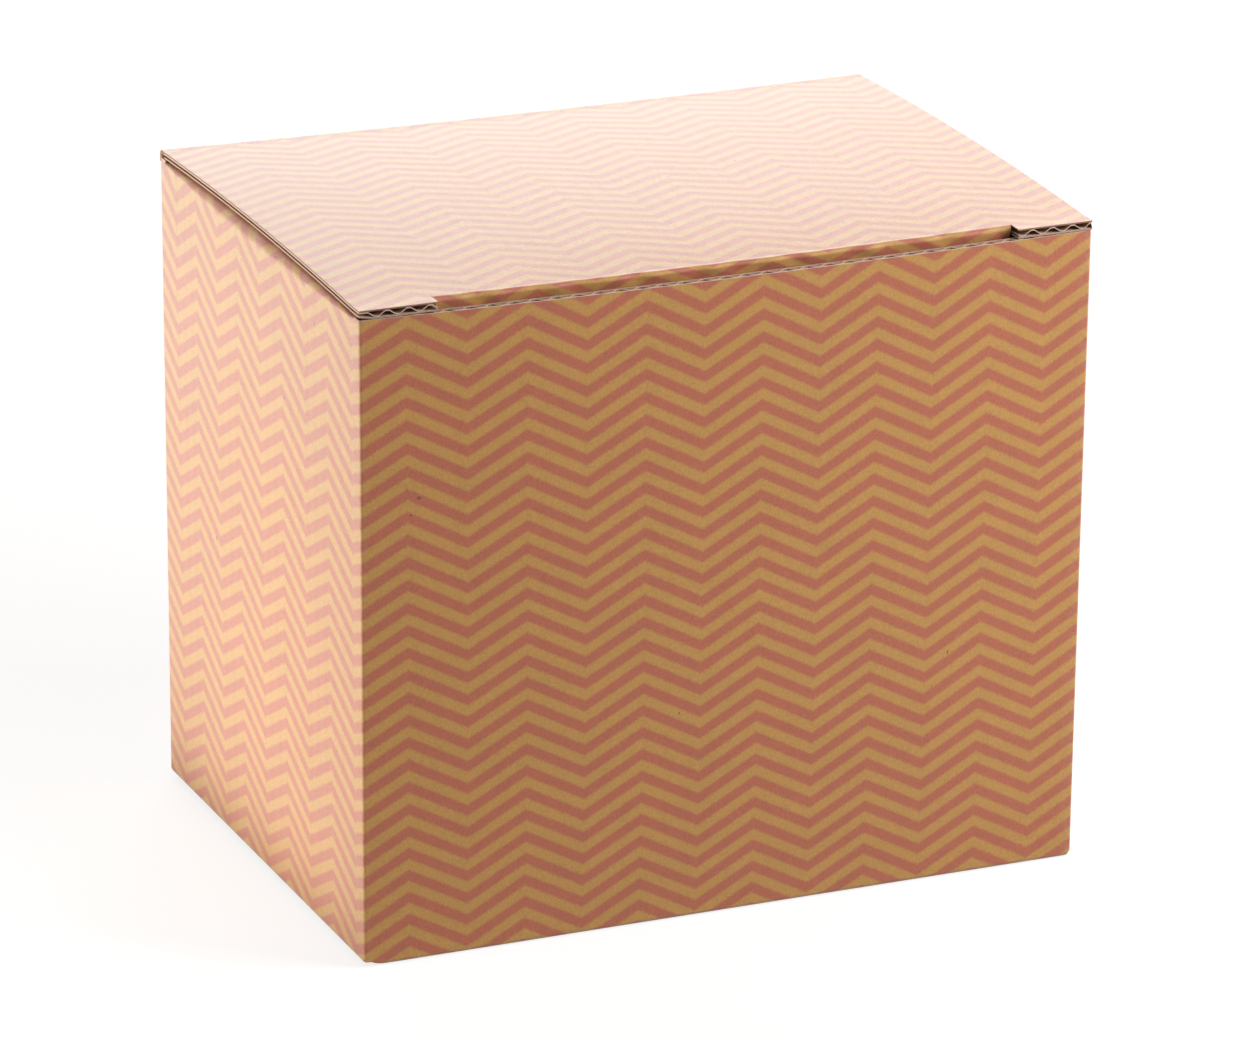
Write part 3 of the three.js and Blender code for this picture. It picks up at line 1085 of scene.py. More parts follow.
    def rubbed(self, ring: Ring) -> np.ndarray:
        """Wears the upright corners, by a bell curve of the way to the nearest turn of the paper.

        Args:
            ring: Points round the sleeve.

        Returns:
            Wear at each point.
        """
        turn = np.abs(np.diff(np.arctan2(ring.outwards[:, 1], ring.outwards[:, 0]), append=0))
        on_corner = ring.way[(turn > self.rub_turns[0]) & (turn < self.rub_turns[1])]
        gap = np.min(np.abs(ring.way[:, None] - on_corner[None, :]), axis=1)
        return self.rub * np.exp(-((gap / self.rub_width) ** 2))

    def wrap(self, inset: float, corner: float) -> Sheet:
        """One paper round the four walls, carried up from their feet to their tops.

        Args:
            inset: Depth of its outer face in the board.
            corner: Radius of its upright corners.

        Returns:
            The paper, bowed with the walls and cut down to the side walls' tops between the slits.
        """
        size = self.sizes
        ring = self.around(inset, corner)
        heights = steps(0.0, self.side_foot + self.fold_round, size.side_top, size.wall_top)
        heights = heights[(heights == 0) | (heights > self.side_foot)]
        z = np.repeat(heights[:, None], len(ring.way), axis=1)
        z[0] = self.foot(ring.points)
        z[-1] += self.front_rise * (ring.points[:, 1] < 0)
        z[-1] += self.back_rise * (inset == 0) * (ring.points[:, 1] > 0) * np.abs(ring.outwards[:, 0])
        out = self.hold(z) * ring.bows

        def grid(depth: float) -> np.ndarray:
            """Points at a depth in the paper."""
            return np.concatenate([ring.points + (out - depth)[..., None] * ring.outwards, z[..., None]], -1)

        middle = (heights[1:] + heights[:-1])[:, None] / 2
        spots = self.chevron.on_walls(ring.way[None, :], z, size.wall_top)
        wear = np.broadcast_to(self.rubbed(ring), z.shape)
        return Sheet(grid(0.0), grid(self.board.liner), spots, middle < self.top(ring.points), wear)

    def fluting(self, side: Side) -> Sheet:
        """The waved paper of one wall, from fold to fold, with its flutes upright.

        Args:
            side: The wall.

        Returns:
            The wave across the wall, carried up it and bowed with it.
        """
        size, board = self.sizes, self.board
        half = size.half(side) - board.thickness - self.flute_gap
        end = {Side.BACK: size.seam_x, Side.RIGHT: size.seam_y}.get(side, half)
        run = steps(-half, end, widest=board.wave_step)[None, :]
        foot, top = (self.wall_foot, size.wall_top) if side.wide else (self.side_foot, size.side_top)
        heights = steps(foot, top + self.front_rise * (side is Side.FRONT), widest=14.0)[:, None]
        out = size.face(side) + self.bow(side, run, heights) - board.wave(run, 0.0)
        face, back = (
            carried(run, side.sign * (out + offset), heights, side.wide)
            for offset in (board.fluting / 2, -board.fluting / 2)
        )
        return Sheet(face, back)

    def seam(self) -> Sheet:
        """Turns the right wall's paper inwards, as a quarter round down the back right corner.

        Returns:
            The round, from the side walls' foot to their top.
        """
        size, outer = self.sizes, self.board.thickness
        near = size.half_width - outer
        turn = np.linspace(0, QUARTER, 10)[None, :]
        heights = steps(self.side_foot, size.side_top, widest=8.0)[:, None]
        face, back = (
            carried(near + radius * np.cos(turn), size.seam_y + radius * np.sin(turn), heights)
            for radius in (outer, outer - self.board.liner)
        )
        way = 2 * (size.half_width + size.half_depth) + outer * turn
        return Sheet(face, back, self.chevron.on_walls(way, heights, size.wall_top))

    def build(self) -> None:
        """Makes the printed wrap, the lining, the seam and the four walls' fluting."""
        corners = ("front_left_corner", "front_right_corner", "back_left_corner")
        piece = self.wrap(0.0, self.corner).piece("sleeve_print", self.finishes.of_walls)
        keep(piece, "carton", Slot.PRINT, *(f"{side.value}_wall_outer_liner" for side in Side), *corners)
        lining = self.wrap(self.board.lining_depth, self.lining_corner)
        piece = lining.piece("sleeve_lining", self.finishes.of_lining)
        keep(piece, "carton", Slot.LINING, *(f"{side.value}_wall_inner_liner" for side in Side))
        piece = self.seam().piece("seam_fold", self.finishes.of_print)
        keep(piece, "carton", Slot.FOLD, "seam_corner")
        for side in Side:
            piece = self.fluting(side).piece(f"{side.value}_wall_flutes", self.finishes.of_flutes)
            keep(piece, "carton", Slot.FLUTES, f"{side.value}_wall_fluting")


@dataclass
class Lid(BoxPart):
    """The lid with its ears, arched a little between its two creases, and the fold that it turns on."""

    sleeve: Sleeve
    ear: float = 12.5
    arch: float = 0.85
    sag: float = 0.5
    front_dip: float = 0.35
    slit_closed: float = 0.9
    crest: float = 2.26
    pressed_edge: float = 0.9
    closed_edge: float = 0.2
    side_pinch: float = 0.54
    right_pinch: float = 0.1
    front_pinch: float = 0.16
    pinch_width: float = 1.2
    lining_inset: float = 1.0
    fold_round: float = 0.8
    fold_thickness: tuple[float, float] = (0.8, 0.45)
    fold_phase: float = 0.14
    rub: float = 0.3

    def dip(self, across: np.ndarray) -> np.ndarray:
        """How far the tuck flap pulls the lid's front edge down between the ears."""
        return self.front_dip * np.clip(1 - (across / (self.sizes.half_width - self.ear)) ** 2, 0, 1)

    @property
    def front(self) -> float:
        """Y of the lid's front edge between the ears, where the slits beside the tuck fold close."""
        return self.sizes.notch_front - self.slit_closed

    def height(self, across: np.ndarray, reach: np.ndarray) -> np.ndarray:
        """Rise of the lid.

        Args:
            across: Way to the right of its middle.
            reach: Way forwards from its back edge.

        Returns:
            An arch along its length, less shallow sags across its back and front edges.
        """
        share = np.clip(reach / (self.sizes.lid_back - self.front), 0, 1)
        hollow = (1 - (across / self.sizes.half_width) ** 2) * (1 - share) ** 2
        return self.arch * 4 * share * (1 - share) - self.sag * hollow - self.dip(across) * share**8

    def back_height(self, across: np.ndarray) -> np.ndarray:
        """Height of the lid's printed face along its back edge."""
        return self.sizes.height + self.height(across, np.zeros_like(across))

    def crush(self, across: np.ndarray, reach: np.ndarray, depth: np.ndarray) -> np.ndarray:
        """Depth in the crushed board.

        The die pushes the lining towards the print along its side cuts, most at the left, and a little at
        the ears' ends. The push fades inwards with an exponential, and leaves the print and a pressed
        fluting alone.

        Args:
            across: Way to the right of the lid's middle.
            reach: Way forwards from its back edge.
            depth: Depth in the board before it was cut.

        Returns:
            Depth after it.
        """
        half = self.sizes.half_width
        ends = np.maximum(self.sizes.lid_back + self.sizes.half_depth - reach, 0)
        push = self.side_pinch * np.exp((-across - half) / self.pinch_width)
        push = push + self.right_pinch * np.exp((across - half) / self.pinch_width)
        push = np.maximum(push, self.front_pinch * np.exp(-ends / self.pinch_width))
        near = self.board.liner + self.board.fluting
        return depth - push * np.clip((depth - near) / (self.board.lining_depth - near), 0, 1)

    def plan(self) -> Plan:
        """Draws the lid's outline.

        Returns:
            A rectangle, notched in the middle of its front for the tuck fold.
        """
        size = self.sizes
        notch = size.lid_back - self.front
        rows = steps(0, notch, size.lid_back + size.half_depth)
        half, inner = size.half_width, size.half_width - self.ear
        edges = [np.full_like(rows, value) for value in (-half, -inner, inner, half)]
        return Plan(rows, edges, (True, rows[1:] <= notch + NEARLY, True))

    def spots(self, across: np.ndarray, reach: np.ndarray) -> np.ndarray:
        """Print of the lid, counted from the box's back edge."""
        return self.chevron.on_lid(across, reach + self.sizes.layer, self.sizes.half_width)

    def fold(self) -> Sheet:
        """Makes the fold that the lid turns on, as wide as the lid.

        Returns:
            A quarter round up from the back wall to the lid, thinner towards the lid.
        """
        size, chevron = self.sizes, self.chevron
        across = steps(-size.half_width, size.half_width, widest=3.0)[None, :]
        wall = size.half_depth + self.sleeve.bow(Side.BACK, across, size.wall_top)
        top = self.back_height(across)
        y, z = quarter_fold(wall, size.wall_top, top, self.fold_round, size.lid_back, 4, 9)
        face = carried(across, y, z)
        way = way_along(face)[:, None]
        share = way / way[-1]
        thickness = self.fold_thickness[0] + (self.fold_thickness[1] - self.fold_thickness[0]) * share
        end = chevron.lid_down_phase + size.layer / chevron.pitch
        down = (self.fold_phase + (end - self.fold_phase) * share - chevron.lid_down_phase) * chevron.pitch
        spots = chevron.on_lid(across, down, size.half_width)
        return Sheet.behind(face, thickness, (0, 1, 0), spots, self.rub * np.sin(share * math.pi))

    def lining_fold(self) -> Sheet:
        """Joins the back wall's lining to the lid's.

        Returns:
            A strip whose section is a quadratic curve, carried along X.
        """
        size = self.sizes
        half = size.half_width - self.lining_inset
        across = steps(-half, half)[None, :]
        share = np.linspace(0, 1, 9)[:, None]
        top = self.back_height(across) - self.board.thickness

        def grid(amount: float) -> np.ndarray:
            """Points of the strip at an amount outwards of its inner face."""
            y, z = size.half_depth - self.board.thickness + amount, top + amount
            return carried(
                across, y + (size.lid_back - y) * share**2, z + (size.wall_top - z) * (1 - share) ** 2
            )

        return Sheet(grid(self.board.liner), grid(0.0))

    def build(self) -> None:
        """Makes the lid's three papers and its two fold strips."""
        size = self.sizes
        Panel(
            "lid",
            "lid",
            (0, size.lid_back, size.height),
            ((1, 0, 0), (0, -1, 0), (0, 0, 1)),
            self.plan(),
            self.spots,
            self.height,
            self.crush,
            self.crest,
            size.half_width - self.pressed_edge,
            size.half_width - self.closed_edge,
        ).build(self.board, self.finishes)
        piece = self.fold().piece("lid_fold_print", self.finishes.of_print)
        start = (0, size.half_depth, size.wall_top + self.sag)
        bend(piece, ("carton", "lid"), start, (0, size.lid_back, size.height - self.sag), "lid_crease")
        piece = self.lining_fold().piece("lid_fold_lining", self.finishes.of_lining)
        start = (0, size.half_depth - self.board.thickness, size.wall_top)
        bend(piece, ("carton", "lid"), start, (0, size.lid_back, size.wall_top))


def corner_strip(
    start: tuple[float, float],
    end: tuple[float, float],
    half: float,
    push: tuple[float, float],
    wide: bool = True,
    lift: Callable[[np.ndarray], np.ndarray] = np.zeros_like,
) -> Sheet:
    """A straight strip of lining between two places of a section, carried along X or Y.

    Args:
        start: First place of the section, as a way sideways and a height.
        end: Last place of the section.
        half: Half of the strip's length.
        push: Way in the section from the strip's inner face to its outer one.
        wide: Carries the section along X, with the way sideways along Y.
        lift: Rise of the strip's last edge along its length.

    Returns:
        The strip as a sheet.
    """
    share = np.linspace(0, 1, 9)[:, None]
    run = steps(-half, half, widest=6.0)[None, :]
    sideways = start[0] + (end[0] - start[0]) * share
    height = start[1] + (end[1] + lift(run) - start[1]) * share
    outer = carried(run, sideways + push[0], height + push[1], wide)
    return Sheet(outer, carried(run, sideways, height, wide))


@dataclass
class TuckFlap(BoxPart):
    """The flap behind the front wall and the rounded fold that shows between the lid's ears."""

    lid: Lid
    length: float = 18.0
    corner: float = 9.0
    lean: float = math.radians(10.0)
    fold_round: float = 0.75
    fold_wave: float = 0.12
    fold_waves: tuple[float, float] = (8.6, 5.1)
    fold_thickness: float = 0.5
    fold_columns: int = 130
    rub: float = 0.2

    @property
    def along(self) -> np.ndarray:
        """Direction of the flap, down and leaning inwards."""
        return np.array((0, math.sin(self.lean), -math.cos(self.lean)))

    @property
    def outward(self) -> np.ndarray:
        """Direction of its printed face, towards the front wall."""
        return np.array((0, -math.cos(self.lean), -math.sin(self.lean)))

    @property
    def origin(self) -> np.ndarray:
        """Place on its printed face beside the crease that it turns on."""
        return self.sizes.joints["tuck_fold"] + self.board.thickness / 2 * self.outward

    @property
    def flat(self) -> np.ndarray:
        """Place on its printed face where the fold ends."""
        return self.origin + self.sizes.crease_reach * self.along

    def plan(self) -> Plan:
        """Draws the flap's outline.

        Returns:
            A wide tongue with two round corners.
        """
        straight = steps(self.sizes.crease_reach, self.length - self.corner)
        rows = merged(straight, round_rows(self.length, self.corner))
        half = self.sizes.tuck_half - rounding(rows, self.length, self.corner)
        return Plan(rows, [-half, half])

    def path(self) -> np.ndarray:
        """Draws the fold's section.

        Returns:
            Its Y and Z: level from the lid, a tight round, and straight down the flap's lean.
        """
        top = self.sizes.height
        last = self.flat[1:]
        turn = np.linspace(0, QUARTER + self.lean, 14)
        y, z = -self.fold_round * np.sin(turn), top - self.fold_round * (1 - np.cos(turn))
        slope = self.along[1] / self.along[2]
        y = y + last[0] + slope * (z[-1] - last[1]) - y[-1]
        level_y = np.linspace(self.lid.front, y[0], 6)[:-1]
        down = np.linspace(z[-1], last[1], 6)[1:]
        y = np.concatenate([level_y, y, last[0] + slope * (down - last[1])])
        return np.stack((y, np.concatenate([np.full_like(level_y, top), z, down])), -1)

    @property
    def fold_length(self) -> float:
        """Way over the fold from the lid's flat to the flap's."""
        return float(way_along(self.path())[-1])

    def fold(self) -> Sheet:
        """Fold between the ears, its section carried along X.

        How far the round reaches forwards wavers a little along the fold, as a crease across flutes does, by
        a sum of two sines that fades towards both of the section's ends.

        Returns:
            The fold as a sheet.
        """
        size = self.sizes
        path = self.path()
        share = way_along(path)[:, None] / self.fold_length
        fade = np.sin(share * math.pi)
        half = size.half_width - self.lid.ear
        across = np.linspace(-1, 1, self.fold_columns)[None, :] * (half + (size.tuck_half - half) * share)
        y = path[:, :1] + self.fold_wave * waver(across, self.fold_waves) * fade
        z = path[:, 1:] - self.lid.dip(across) * (1 - share)
        way = size.half_depth - self.lid.front + self.fold_length * share
        spots = self.chevron.on_lid(across, way, size.half_width)
        return Sheet.behind(carried(across, y, z), self.fold_thickness, (0, 0, 1), spots, self.rub * fade)

    def spots(self, across: np.ndarray, reach: np.ndarray) -> np.ndarray:
        """Print carried on from the lid over the fold."""
        way = self.sizes.half_depth - self.lid.front + self.fold_length
        return self.chevron.on_lid(across, way + reach - self.sizes.crease_reach, self.sizes.half_width)

    def build(self) -> None:
        """Makes the flap's three papers and its two fold strips."""
        size, board = self.sizes, self.board
        axes = ((1, 0, 0), tuple(self.along), tuple(self.outward))
        name, bodies = "tuck_flap", ("lid", "tuck_flap")
        flap = Panel(name, name, tuple(self.origin), axes, self.plan(), self.spots, crest=self.lid.crest)
        flap.build(board, self.finishes)
        piece = self.fold().piece("tuck_fold_print", self.finishes.of_print)
        bend(piece, bodies, (0, self.lid.front, size.height), tuple(self.flat), "tuck_crease")
        inner = self.flat - board.thickness * self.outward
        first = (self.lid.front, size.height - board.thickness)
        push = board.liner * math.sqrt(0.5)
        strip = corner_strip(first, (inner[1], inner[2]), size.tuck_half, (-push, push))
        piece = strip.piece("tuck_fold_lining", self.finishes.of_lining)
        bend(piece, bodies, (0, *first), tuple(inner))


@dataclass
class DustFlap(BoxPart):
    """A dust flap under the lid, which it pushes up into an arch, and the fold at its side wall's top."""

    sleeve: Sleeve
    lid: Lid
    side: Side
    length: float = 48.0
    shoulder: float = 9.0
    step: float = 4.2
    taper: float = math.radians(30.0)
    corner: float = 10.0
    end_gap: float = 0.6
    back_gap: float = 2.0
    tight_round: float = 0.3
    loose_round: float = 1.8
    round_wave: float = 0.15
    round_waves: tuple[float, float] = (11.3, 6.7)
    press: float = 0.2
    end_rise: float = 0.5

    @property
    def name(self) -> str:
        """Name of the flap and of its body."""
        return f"{self.side.value}_dust_flap"

    @property
    def axis(self) -> np.ndarray:
        """Place of the crease that it turns on."""
        return self.sizes.joints[f"{self.side.value}_dust_fold"]

    @property
    def top(self) -> float:
        """Height of its printed face before the lid's arch lifts it."""
        return float(self.axis[2] + self.board.thickness / 2)

    @property
    def front_edge(self) -> float:
        """Place of the flap's front edge, just behind the front wall."""
        return -(self.sizes.half_depth - self.board.thickness) + self.end_gap

    @property
    def fold_length(self) -> float:
        """Way over the fold from the wall's flat to the flap's."""
        return 2 * self.sizes.crease_reach + self.board.thickness

    def lift(self, y: np.ndarray) -> np.ndarray:
        """Rise of the flap's fold along Y: it follows the lid's arch and fills most of the clearance."""
        return self.lid.height(self.sizes.half_width + 0 * y, self.sizes.lid_back - y) + self.press

    def rise(self, across: np.ndarray, reach: np.ndarray) -> np.ndarray:
        """Rise of the flap: that of its fold, less towards its free end."""
        near = self.sizes.crease_reach
        return self.lift(across) * (1 - (1 - self.end_rise) * (reach - near) / (self.length - near))

    def plan(self) -> Plan:
        """Draws the flap's outline.

        Returns:
            A stepped front edge, a tapered back edge and two round corners.
        """
        size = self.sizes
        marks = steps(size.crease_reach, self.shoulder, self.shoulder + self.step, self.length - self.corner)
        rows = merged(marks, round_rows(self.length, self.corner))
        draw = rounding(rows, self.length, self.corner)
        front = self.front_edge + np.clip(rows - self.shoulder, 0, self.step) + draw
        back = size.joints["lid_fold"][1] - self.back_gap - rows * math.tan(self.taper) - draw
        return Plan(rows, [front, back])

    def spots(self, across: np.ndarray, reach: np.ndarray) -> np.ndarray:
        """Print carried on from the side wall."""
        height = self.sizes.side_top + self.fold_length + reach - self.sizes.crease_reach
        return self.chevron.on_walls(self.sizes.way_round(self.side, across), height, self.sizes.wall_top)

    def fold(self) -> Sheet:
        """Fold at the wall's top, whose foot follows the wall's bow.

        Its round is tight at both ends of the fold and looser in the middle: the radius is a parabola along
        the fold, with a little waver.

        Returns:
            The fold as a sheet.
        """
        size = self.sizes
        run = steps(self.front_edge, -self.front_edge, widest=1.0)[None, :]
        loose = self.loose_round + self.round_wave * waver(run, self.round_waves) - self.tight_round
        radius = self.tight_round + loose * (1 - (run / self.front_edge) ** 2)
        wall = size.half_width + self.sleeve.bow(self.side, run, size.side_top)
        end = abs(self.axis[0]) - size.crease_reach
        out, z = quarter_fold(wall, size.side_top, self.top + self.lift(run), radius, end, 3, 11)
        face = carried(run, self.side.sign * out, z, wide=False)
        way = way_along(face)[:, None]
        height = size.side_top + way / way[-1] * self.fold_length
        spots = self.chevron.on_walls(size.way_round(self.side, run), height, size.wall_top)
        return Sheet.behind(face, self.board.liner, (0, 0, 1), spots)

    def build(self) -> None:
        """Makes the flap's three papers and its two fold strips."""
        size, board, sign, top = self.sizes, self.board, self.side.sign, self.top
        x, bodies = float(self.axis[0]), ("carton", self.name)
        axes = ((0, 1, 0), (-sign, 0, 0), (0, 0, 1))
        flap = Panel(self.name, self.name, (x, 0, top), axes, self.plan(), self.spots, self.rise)
        flap.build(board, self.finishes)
        end = x - sign * size.crease_reach
        piece = self.fold().piece(f"{self.side.value}_dust_fold_print", self.finishes.of_print)
        start = (sign * size.half_width, 0, size.side_top)
        bend(piece, bodies, start, (end, 0, top), f"{self.side.value}_dust_crease")
        first = (sign * (size.half_width - board.thickness), size.side_top)
        last = (end, top - board.thickness)
        push = board.liner * math.sqrt(0.5)
        strip = corner_strip(first, last, -self.front_edge, (sign * push, push), False, self.lift)
        piece = strip.piece(f"{self.side.value}_dust_fold_lining", self.finishes.of_lining)
        bend(piece, bodies, (first[0], 0, first[1]), (last[0], 0, last[1]))


@dataclass
class GlueFlap(BoxPart):
    """The flap that the right wall ends in, glued inside the back wall."""

    width: float = 14.0
    taper: float = 10.0
    inset: float = 5.0
    root: float = 0.05
    sliver: float = 0.001

    @property
    def near(self) -> float:
        """X of the flap's root."""
        return self.sizes.half_width - self.board.thickness

    def spots(self, across: np.ndarray, reach: np.ndarray) -> np.ndarray:
        """Print carried on from the right wall."""
        way = 2 * (self.sizes.half_width + self.sizes.half_depth) + self.near - across
        return self.chevron.on_walls(way, reach, self.sizes.wall_top)

    def build(self) -> None:
        """Makes its three papers: rows go up the flutes, and the free edge is bevelled at both ends."""
        size = self.sizes
        low, high = size.side_foot + self.inset, size.side_top - self.inset
        rows = steps(low, low + self.taper, high - self.taper, high)
        bevel = np.clip(np.minimum(rows - low, high - rows) / self.taper, 0, 1)
        far = self.near - self.root - (self.width - self.root) * bevel - self.sliver
        plan = Plan(rows, [far, np.full_like(rows, self.near)])
        origin, axes = (0, size.seam_y + self.board.thickness, 0), ((1, 0, 0), (0, 0, 1), (0, 1, 0))
        Panel("glue_flap", "carton", origin, axes, plan, self.spots).build(self.board, self.finishes)


@dataclass
class SnapBottom(BoxPart):
    """The four bottom flaps and the quarter-round folds at the feet of the walls."""

    sleeve: Sleeve
    relief: float = 3.0
    shoulder: float = 5.0
    lap: float = 2.2
    front_corner: float = 8.0
    tongue_half: float = 28.0
    tongue_ramp: float = 13.0
    tongue_lap: float = 12.0
    tongue_corner: float = 8.0
    tongue_border: float = 1.0
    recess_clearance: float = 2.0
    recess_depth: float = 20.0
    back_length: float = 50.0
    back_ramp: float = 8.0
    leg_corner: float = 6.0
    side_gap: float = 1.0
    fold_gap: float = 0.05
    fold_slants: tuple[float, float] = (2.6, 0.4)
    side_slants: tuple[float, float] = (0.5, 0.5)
    slant_power: float = 1.5
    fold_columns: int = 60

    @property
    def fold_half(self) -> float:
        """Half of the front fold's length."""
        return self.sizes.half_width - self.relief

    @property
    def inner_depth(self) -> float:
        """Way between the front and back walls."""
        return 2 * (self.sizes.half_depth - self.board.thickness)

    @property
    def recess_half(self) -> float:
        """Half of the recess's width, with clearance round the tongue."""
        return self.tongue_half + self.recess_clearance

    @property
    def recess_edge(self) -> float:
        """Reach at which the recess starts."""
        return self.back_length - self.recess_depth

    @staticmethod
    def ramp(start: float, end: float, rise: float, across: np.ndarray, reach: np.ndarray) -> np.ndarray:
        """An S bend that lifts a flap, as a smooth step.

        Args:
            start: Reach at which it starts.
            end: Reach at which it ends.
            rise: Height that it gains.
            across: Ways across the flap.
            reach: Ways along it.

        Returns:
            Rise in the direction of the printed face, which is down.
        """
        share = np.clip((reach - start) / (end - start), 0, 1)
        return -rise * share**2 * (3 - 2 * share) + 0 * across

    def front(self) -> tuple[Plan, Field]:
        """Draws the front flap: a wide plate, and a tongue that rises through the back flap's recess.

        Returns:
            Its outline and its rise.
        """
        length = self.inner_depth - self.back_length + self.lap
        top = self.inner_depth - self.recess_edge - self.recess_clearance
        end = top + self.recess_clearance + self.tongue_lap
        start = top - self.tongue_ramp
        plate = steps(self.fold_gap, self.shoulder, length - self.front_corner)
        tongue = steps(length, start, top, end - self.tongue_corner, widest=2.0)
        corners = (round_rows(length, self.front_corner), round_rows(end, self.tongue_corner))
        rows = merged(plate, tongue, *corners)
        draw = rounding(np.minimum(rows, length), length, self.front_corner)
        inner = self.tongue_half - rounding(rows, end, self.tongue_corner)
        outer = self.fold_half - np.clip(rows, 0, self.shoulder) - draw
        outer = np.maximum(outer, inner + self.tongue_border)
        stays = rows[1:] <= length + NEARLY
        plan = Plan(rows, [-outer, -inner, inner, outer], (stays, True, stays))
        return plan, partial(self.ramp, start, top, 3 * self.sizes.layer)

    def back(self) -> tuple[Plan, Field]:
        """Draws the back flap, which lies over the side flaps, with a recess between its two legs.

        Returns:
            Its outline and its rise.
        """
        end = self.back_length
        ramp = steps(self.fold_gap, self.shoulder, self.back_ramp, widest=1.0)
        rest = steps(self.back_ramp, self.recess_edge, end - self.leg_corner)
        rows = merged(ramp, rest, round_rows(end, self.leg_corner))
        draw = rounding(rows, end, self.leg_corner)
        outer = self.fold_half - np.clip(rows, 0, self.shoulder) - draw
        inner = self.recess_half + draw
        plan = Plan(rows, [-outer, -inner, inner, outer], (True, rows[1:] <= self.recess_edge + NEARLY, True))
        return plan, partial(self.ramp, self.fold_gap, self.back_ramp, 2 * self.sizes.layer)

    def flank(self) -> tuple[Plan, Field]:
        """Draws a side flap: half a square cut at 45 degrees.

        Returns:
            Its outline and its rise, which is none.
        """
        half = self.sizes.half_depth - self.relief
        reach = self.sizes.half_width - self.board.thickness - self.recess_half - self.side_gap
        rows = steps(self.fold_gap, reach)
        edge = half - (rows - self.fold_gap) * (reach / (reach - self.fold_gap))
        return Plan(rows, [-edge, edge]), level

    def spots(self, side: Side, across: np.ndarray, reach: np.ndarray) -> np.ndarray:
        """Print carried on from a wall's foot."""
        return self.chevron.on_walls(self.sizes.way_round(side, across), -reach, self.sizes.wall_top)

    def fold(self, side: Side) -> Sheet:
        """Quarter round from a wall's foot to its flap, with slanted ends.

        Args:
            side: The wall.

        Returns:
            The round's section, carried along the wall and shorter the further it has turned under.
        """
        size, sleeve = self.sizes, self.sleeve
        radius, wall = sleeve.fold_round, size.face(side)
        low, last = (0.0, 0.0) if side.wide else (sleeve.side_low, size.layer)
        turn = np.linspace(0, QUARTER, 12)
        out = np.concatenate([wall - radius + radius * np.cos(turn), [wall - self.board.thickness]])[:, None]
        height = np.concatenate([low + radius - radius * np.sin(turn), [last]])[:, None]
        share = np.clip((low + radius - height) / radius, 0, 1)
        reliefs = (sleeve.fold_relief, sleeve.right_relief) if side.wide else (sleeve.side_relief,) * 2
        slants = self.fold_slants if side.wide else self.side_slants
        left, right = (
            size.half(side) - relief - slant * share**self.slant_power
            for relief, slant in zip(reliefs, slants)
        )
        run = (left + right) * np.linspace(0, 1, self.fold_columns)[None, :] - left
        face = carried(run, side.sign * out, height, side.wide)
        way = low + radius - way_along(face)[:, None]
        return Sheet.behind(face, self.board.liner, (0, 0, -1), self.spots(side, run, -way))

    def build(self) -> None:
        """Makes the four flaps, each of three papers, and the four folds."""
        size = self.sizes
        plans = {
            Side.FRONT: self.front(),
            Side.BACK: self.back(),
            Side.LEFT: self.flank(),
            Side.RIGHT: self.flank(),
        }
        for side, (plan, rise) in plans.items():
            wall = side.sign * (size.face(side) - self.board.thickness)
            origin = (0, wall, 0) if side.wide else (wall, 0, size.layer)
            across, along = ((1, 0, 0), (0, -side.sign, 0)) if side.wide else ((0, 1, 0), (-side.sign, 0, 0))
            name = f"{side.value}_bottom_flap"
            axes = (across, along, (0, 0, -1))
            flap = Panel(name, "carton", origin, axes, plan, partial(self.spots, side), rise)
            flap.slots, flap.nodes = (Slot.BOTTOM,) * 3, (name, "", "")
            flap.build(self.board, self.finishes)
            piece = self.fold(side).piece(f"{side.value}_bottom_fold_print", self.finishes.of_print)
            keep(piece, "carton", Slot.FOLD, f"{side.value}_bottom_fold")


@dataclass(frozen=True)
class Softbox:
    """A square soft lamp, in metres, which faces the box unless it is aimed elsewhere."""

    name: str
    place: Spot
    width: float
    watts: float
    tint: Colour = (1.0, 1.0, 1.0)
    aim: Spot = (0.0, 0.0, 0.05)

    def build(self) -> None:
        """Makes the lamp."""
        lamp = bpy.data.lights.new(self.name, "AREA")
        lamp.shape = "SQUARE"
        lamp.size = self.width
        lamp.energy = self.watts
        lamp.color = self.tint
        made = bpy.data.objects.new(self.name, lamp)
        made.location = Vector(self.place)
        made.rotation_euler = (Vector(self.aim) - made.location).to_track_quat("-Z", "Y").to_euler()
        bpy.context.scene.collection.objects.link(made)


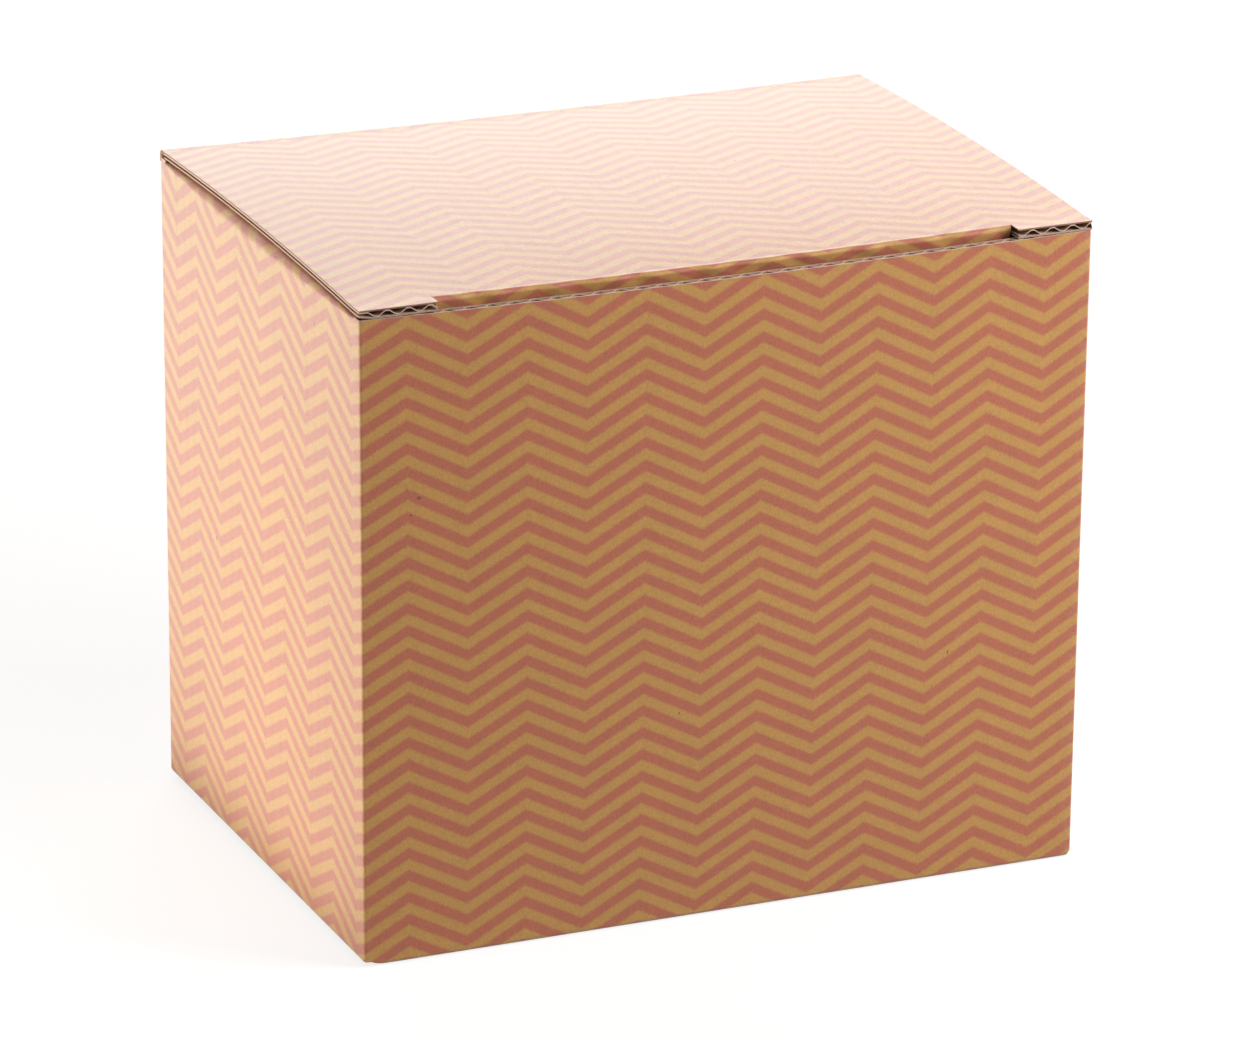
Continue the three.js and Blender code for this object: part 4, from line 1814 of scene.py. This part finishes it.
@dataclass(frozen=True)
class Studio:
    """A pale floor, a white surround and soft lamps, in metres. Two lamps lie on the floor and face up."""

    floor_half: float = 3.0
    floor_low: float = -0.0001
    floor_white: float = 0.3
    lift: float = 0.8
    ambient: float = 0.2
    lamps: tuple[Softbox, ...] = (
        Softbox("back_panel", (0.5, 1.6, 0.48), 1.3, 24.5, (1.0, 0.985, 0.955)),
        Softbox("floor_left", (-0.317, 0.215, -0.00005), 0.5, 0.78, (0.98, 1.0, 0.96), (-0.317, 0.215, 1.0)),
        Softbox("floor_far", (-0.48, 0.5, -0.00006), 0.6, 4.8, (0.98, 1.0, 0.96), (-0.48, 0.5, 1.0)),
        Softbox("key_left", (-0.21, -0.015, 0.03), 0.045, 0.158, (0.985, 1.0, 0.955)),
        Softbox("fill_right", (0.46, -0.31, 0.37), 0.35, 3.35),
    )

    @staticmethod
    def seen(sketch: Sketch) -> Socket:
        """1 where a surface or the surround is seen directly, in a reflection or through glass."""
        camera, glossy, through = (
            sketch.node("LightPath", {}, f"Is {way} Ray") for way in ("Camera", "Glossy", "Transmission")
        )
        return sketch.math("MAXIMUM", sketch.math("MAXIMUM", camera, glossy), through)

    def floor(self) -> None:
        """Lays the floor: white paper that looks a little brighter than it is lit, and keeps shadows."""
        paper = bpy.data.materials.new("pale_floor")
        sketch = Sketch(paper)
        matte = sketch.node("BsdfDiffuse", {"Color": (*(self.floor_white,) * 3, 1.0)})
        glow = sketch.node("Emission", {"Strength": sketch.math("MULTIPLY", self.seen(sketch), self.lift)})
        sketch.finish(sketch.node("AddShader", {0: matte, 1: glow}))
        half, low = self.floor_half, self.floor_low
        corners = [(-half, -half, low), (half, -half, low), (half, half, low), (-half, half, low)]
        mesh = bpy.data.meshes.new("floor")
        mesh.from_pydata(corners, [], [(0, 1, 2, 3)])
        mesh.materials.append(paper)
        made = bpy.data.objects.new("floor", mesh)
        bpy.context.scene.collection.objects.link(made)

    def surround(self) -> None:
        """Lights the box evenly from a dim surround that looks white."""
        world = bpy.data.worlds.new("surround")
        sketch = Sketch(world)
        strength = sketch.math("MULTIPLY_ADD", self.seen(sketch), 1.0 - self.ambient, self.ambient)
        light = sketch.node("Background", {"Color": (1.0, 1.0, 1.0, 1.0), "Strength": strength})
        sketch.finish(light, "World")
        bpy.context.scene.world = world

    def build(self) -> None:
        """Makes the floor, the surround and the lamps."""
        self.floor()
        self.surround()
        for lamp in self.lamps:
            lamp.build()


@dataclass(frozen=True)
class PhotoCamera:
    """The camera at the photograph's place: above and to the left of the front, with a long lens."""

    lens: float = 213.8
    sensor: float = 36.0
    azimuth: float = -23.185
    elevation: float = 19.82
    roll: float = 0.452
    distance: float = 1170.1
    target_height: float = 50.0
    shift_right: float = 1.162
    shift_up: float = -0.112

    def build(self) -> None:
        """Sets the camera from its turn, tilt, roll and distance."""
        turn, tilt, roll = (math.radians(v) for v in (self.azimuth, self.elevation, self.roll))
        back = Vector((math.sin(turn) * math.cos(tilt), -math.cos(turn) * math.cos(tilt), math.sin(tilt)))
        right = Vector((math.cos(turn), math.sin(turn), 0))
        up = back.cross(right)
        target = Vector((0, 0, self.target_height)) + self.shift_right * right + self.shift_up * up
        rolled_right = math.cos(roll) * right + math.sin(roll) * up
        rolled_up = -math.sin(roll) * right + math.cos(roll) * up
        lens = bpy.data.cameras.new("photo_camera")
        lens.lens = self.lens
        lens.sensor_width = self.sensor
        lens.sensor_fit = "HORIZONTAL"
        lens.clip_start, lens.clip_end = 0.05, 30.0
        made = bpy.data.objects.new("photo_camera", lens)
        place = (target + self.distance * back) * MM
        turned = Matrix((rolled_right, rolled_up, back)).transposed().to_4x4()
        made.matrix_world = Matrix.Translation(place) @ turned
        bpy.context.scene.collection.objects.link(made)
        bpy.context.scene.camera = made


def main() -> None:
    """Builds the box piece by piece, then its studio and camera."""
    logging.basicConfig(level=logging.INFO, format="%(name)s: %(message)s")
    bpy.context.scene.view_settings.view_transform = "Standard"
    stuff = (Sizes.from_frame(), Board(), Chevron(), Finishes())
    sleeve = Sleeve(*stuff)
    sleeve.build()
    lid = Lid(*stuff, sleeve)
    lid.build()
    TuckFlap(*stuff, lid).build()
    for side in (Side.LEFT, Side.RIGHT):
        DustFlap(*stuff, sleeve, lid, side).build()
    GlueFlap(*stuff).build()
    SnapBottom(*stuff, sleeve).build()
    Studio().build()
    PhotoCamera().build()


if __name__ == "__main__":
    main()
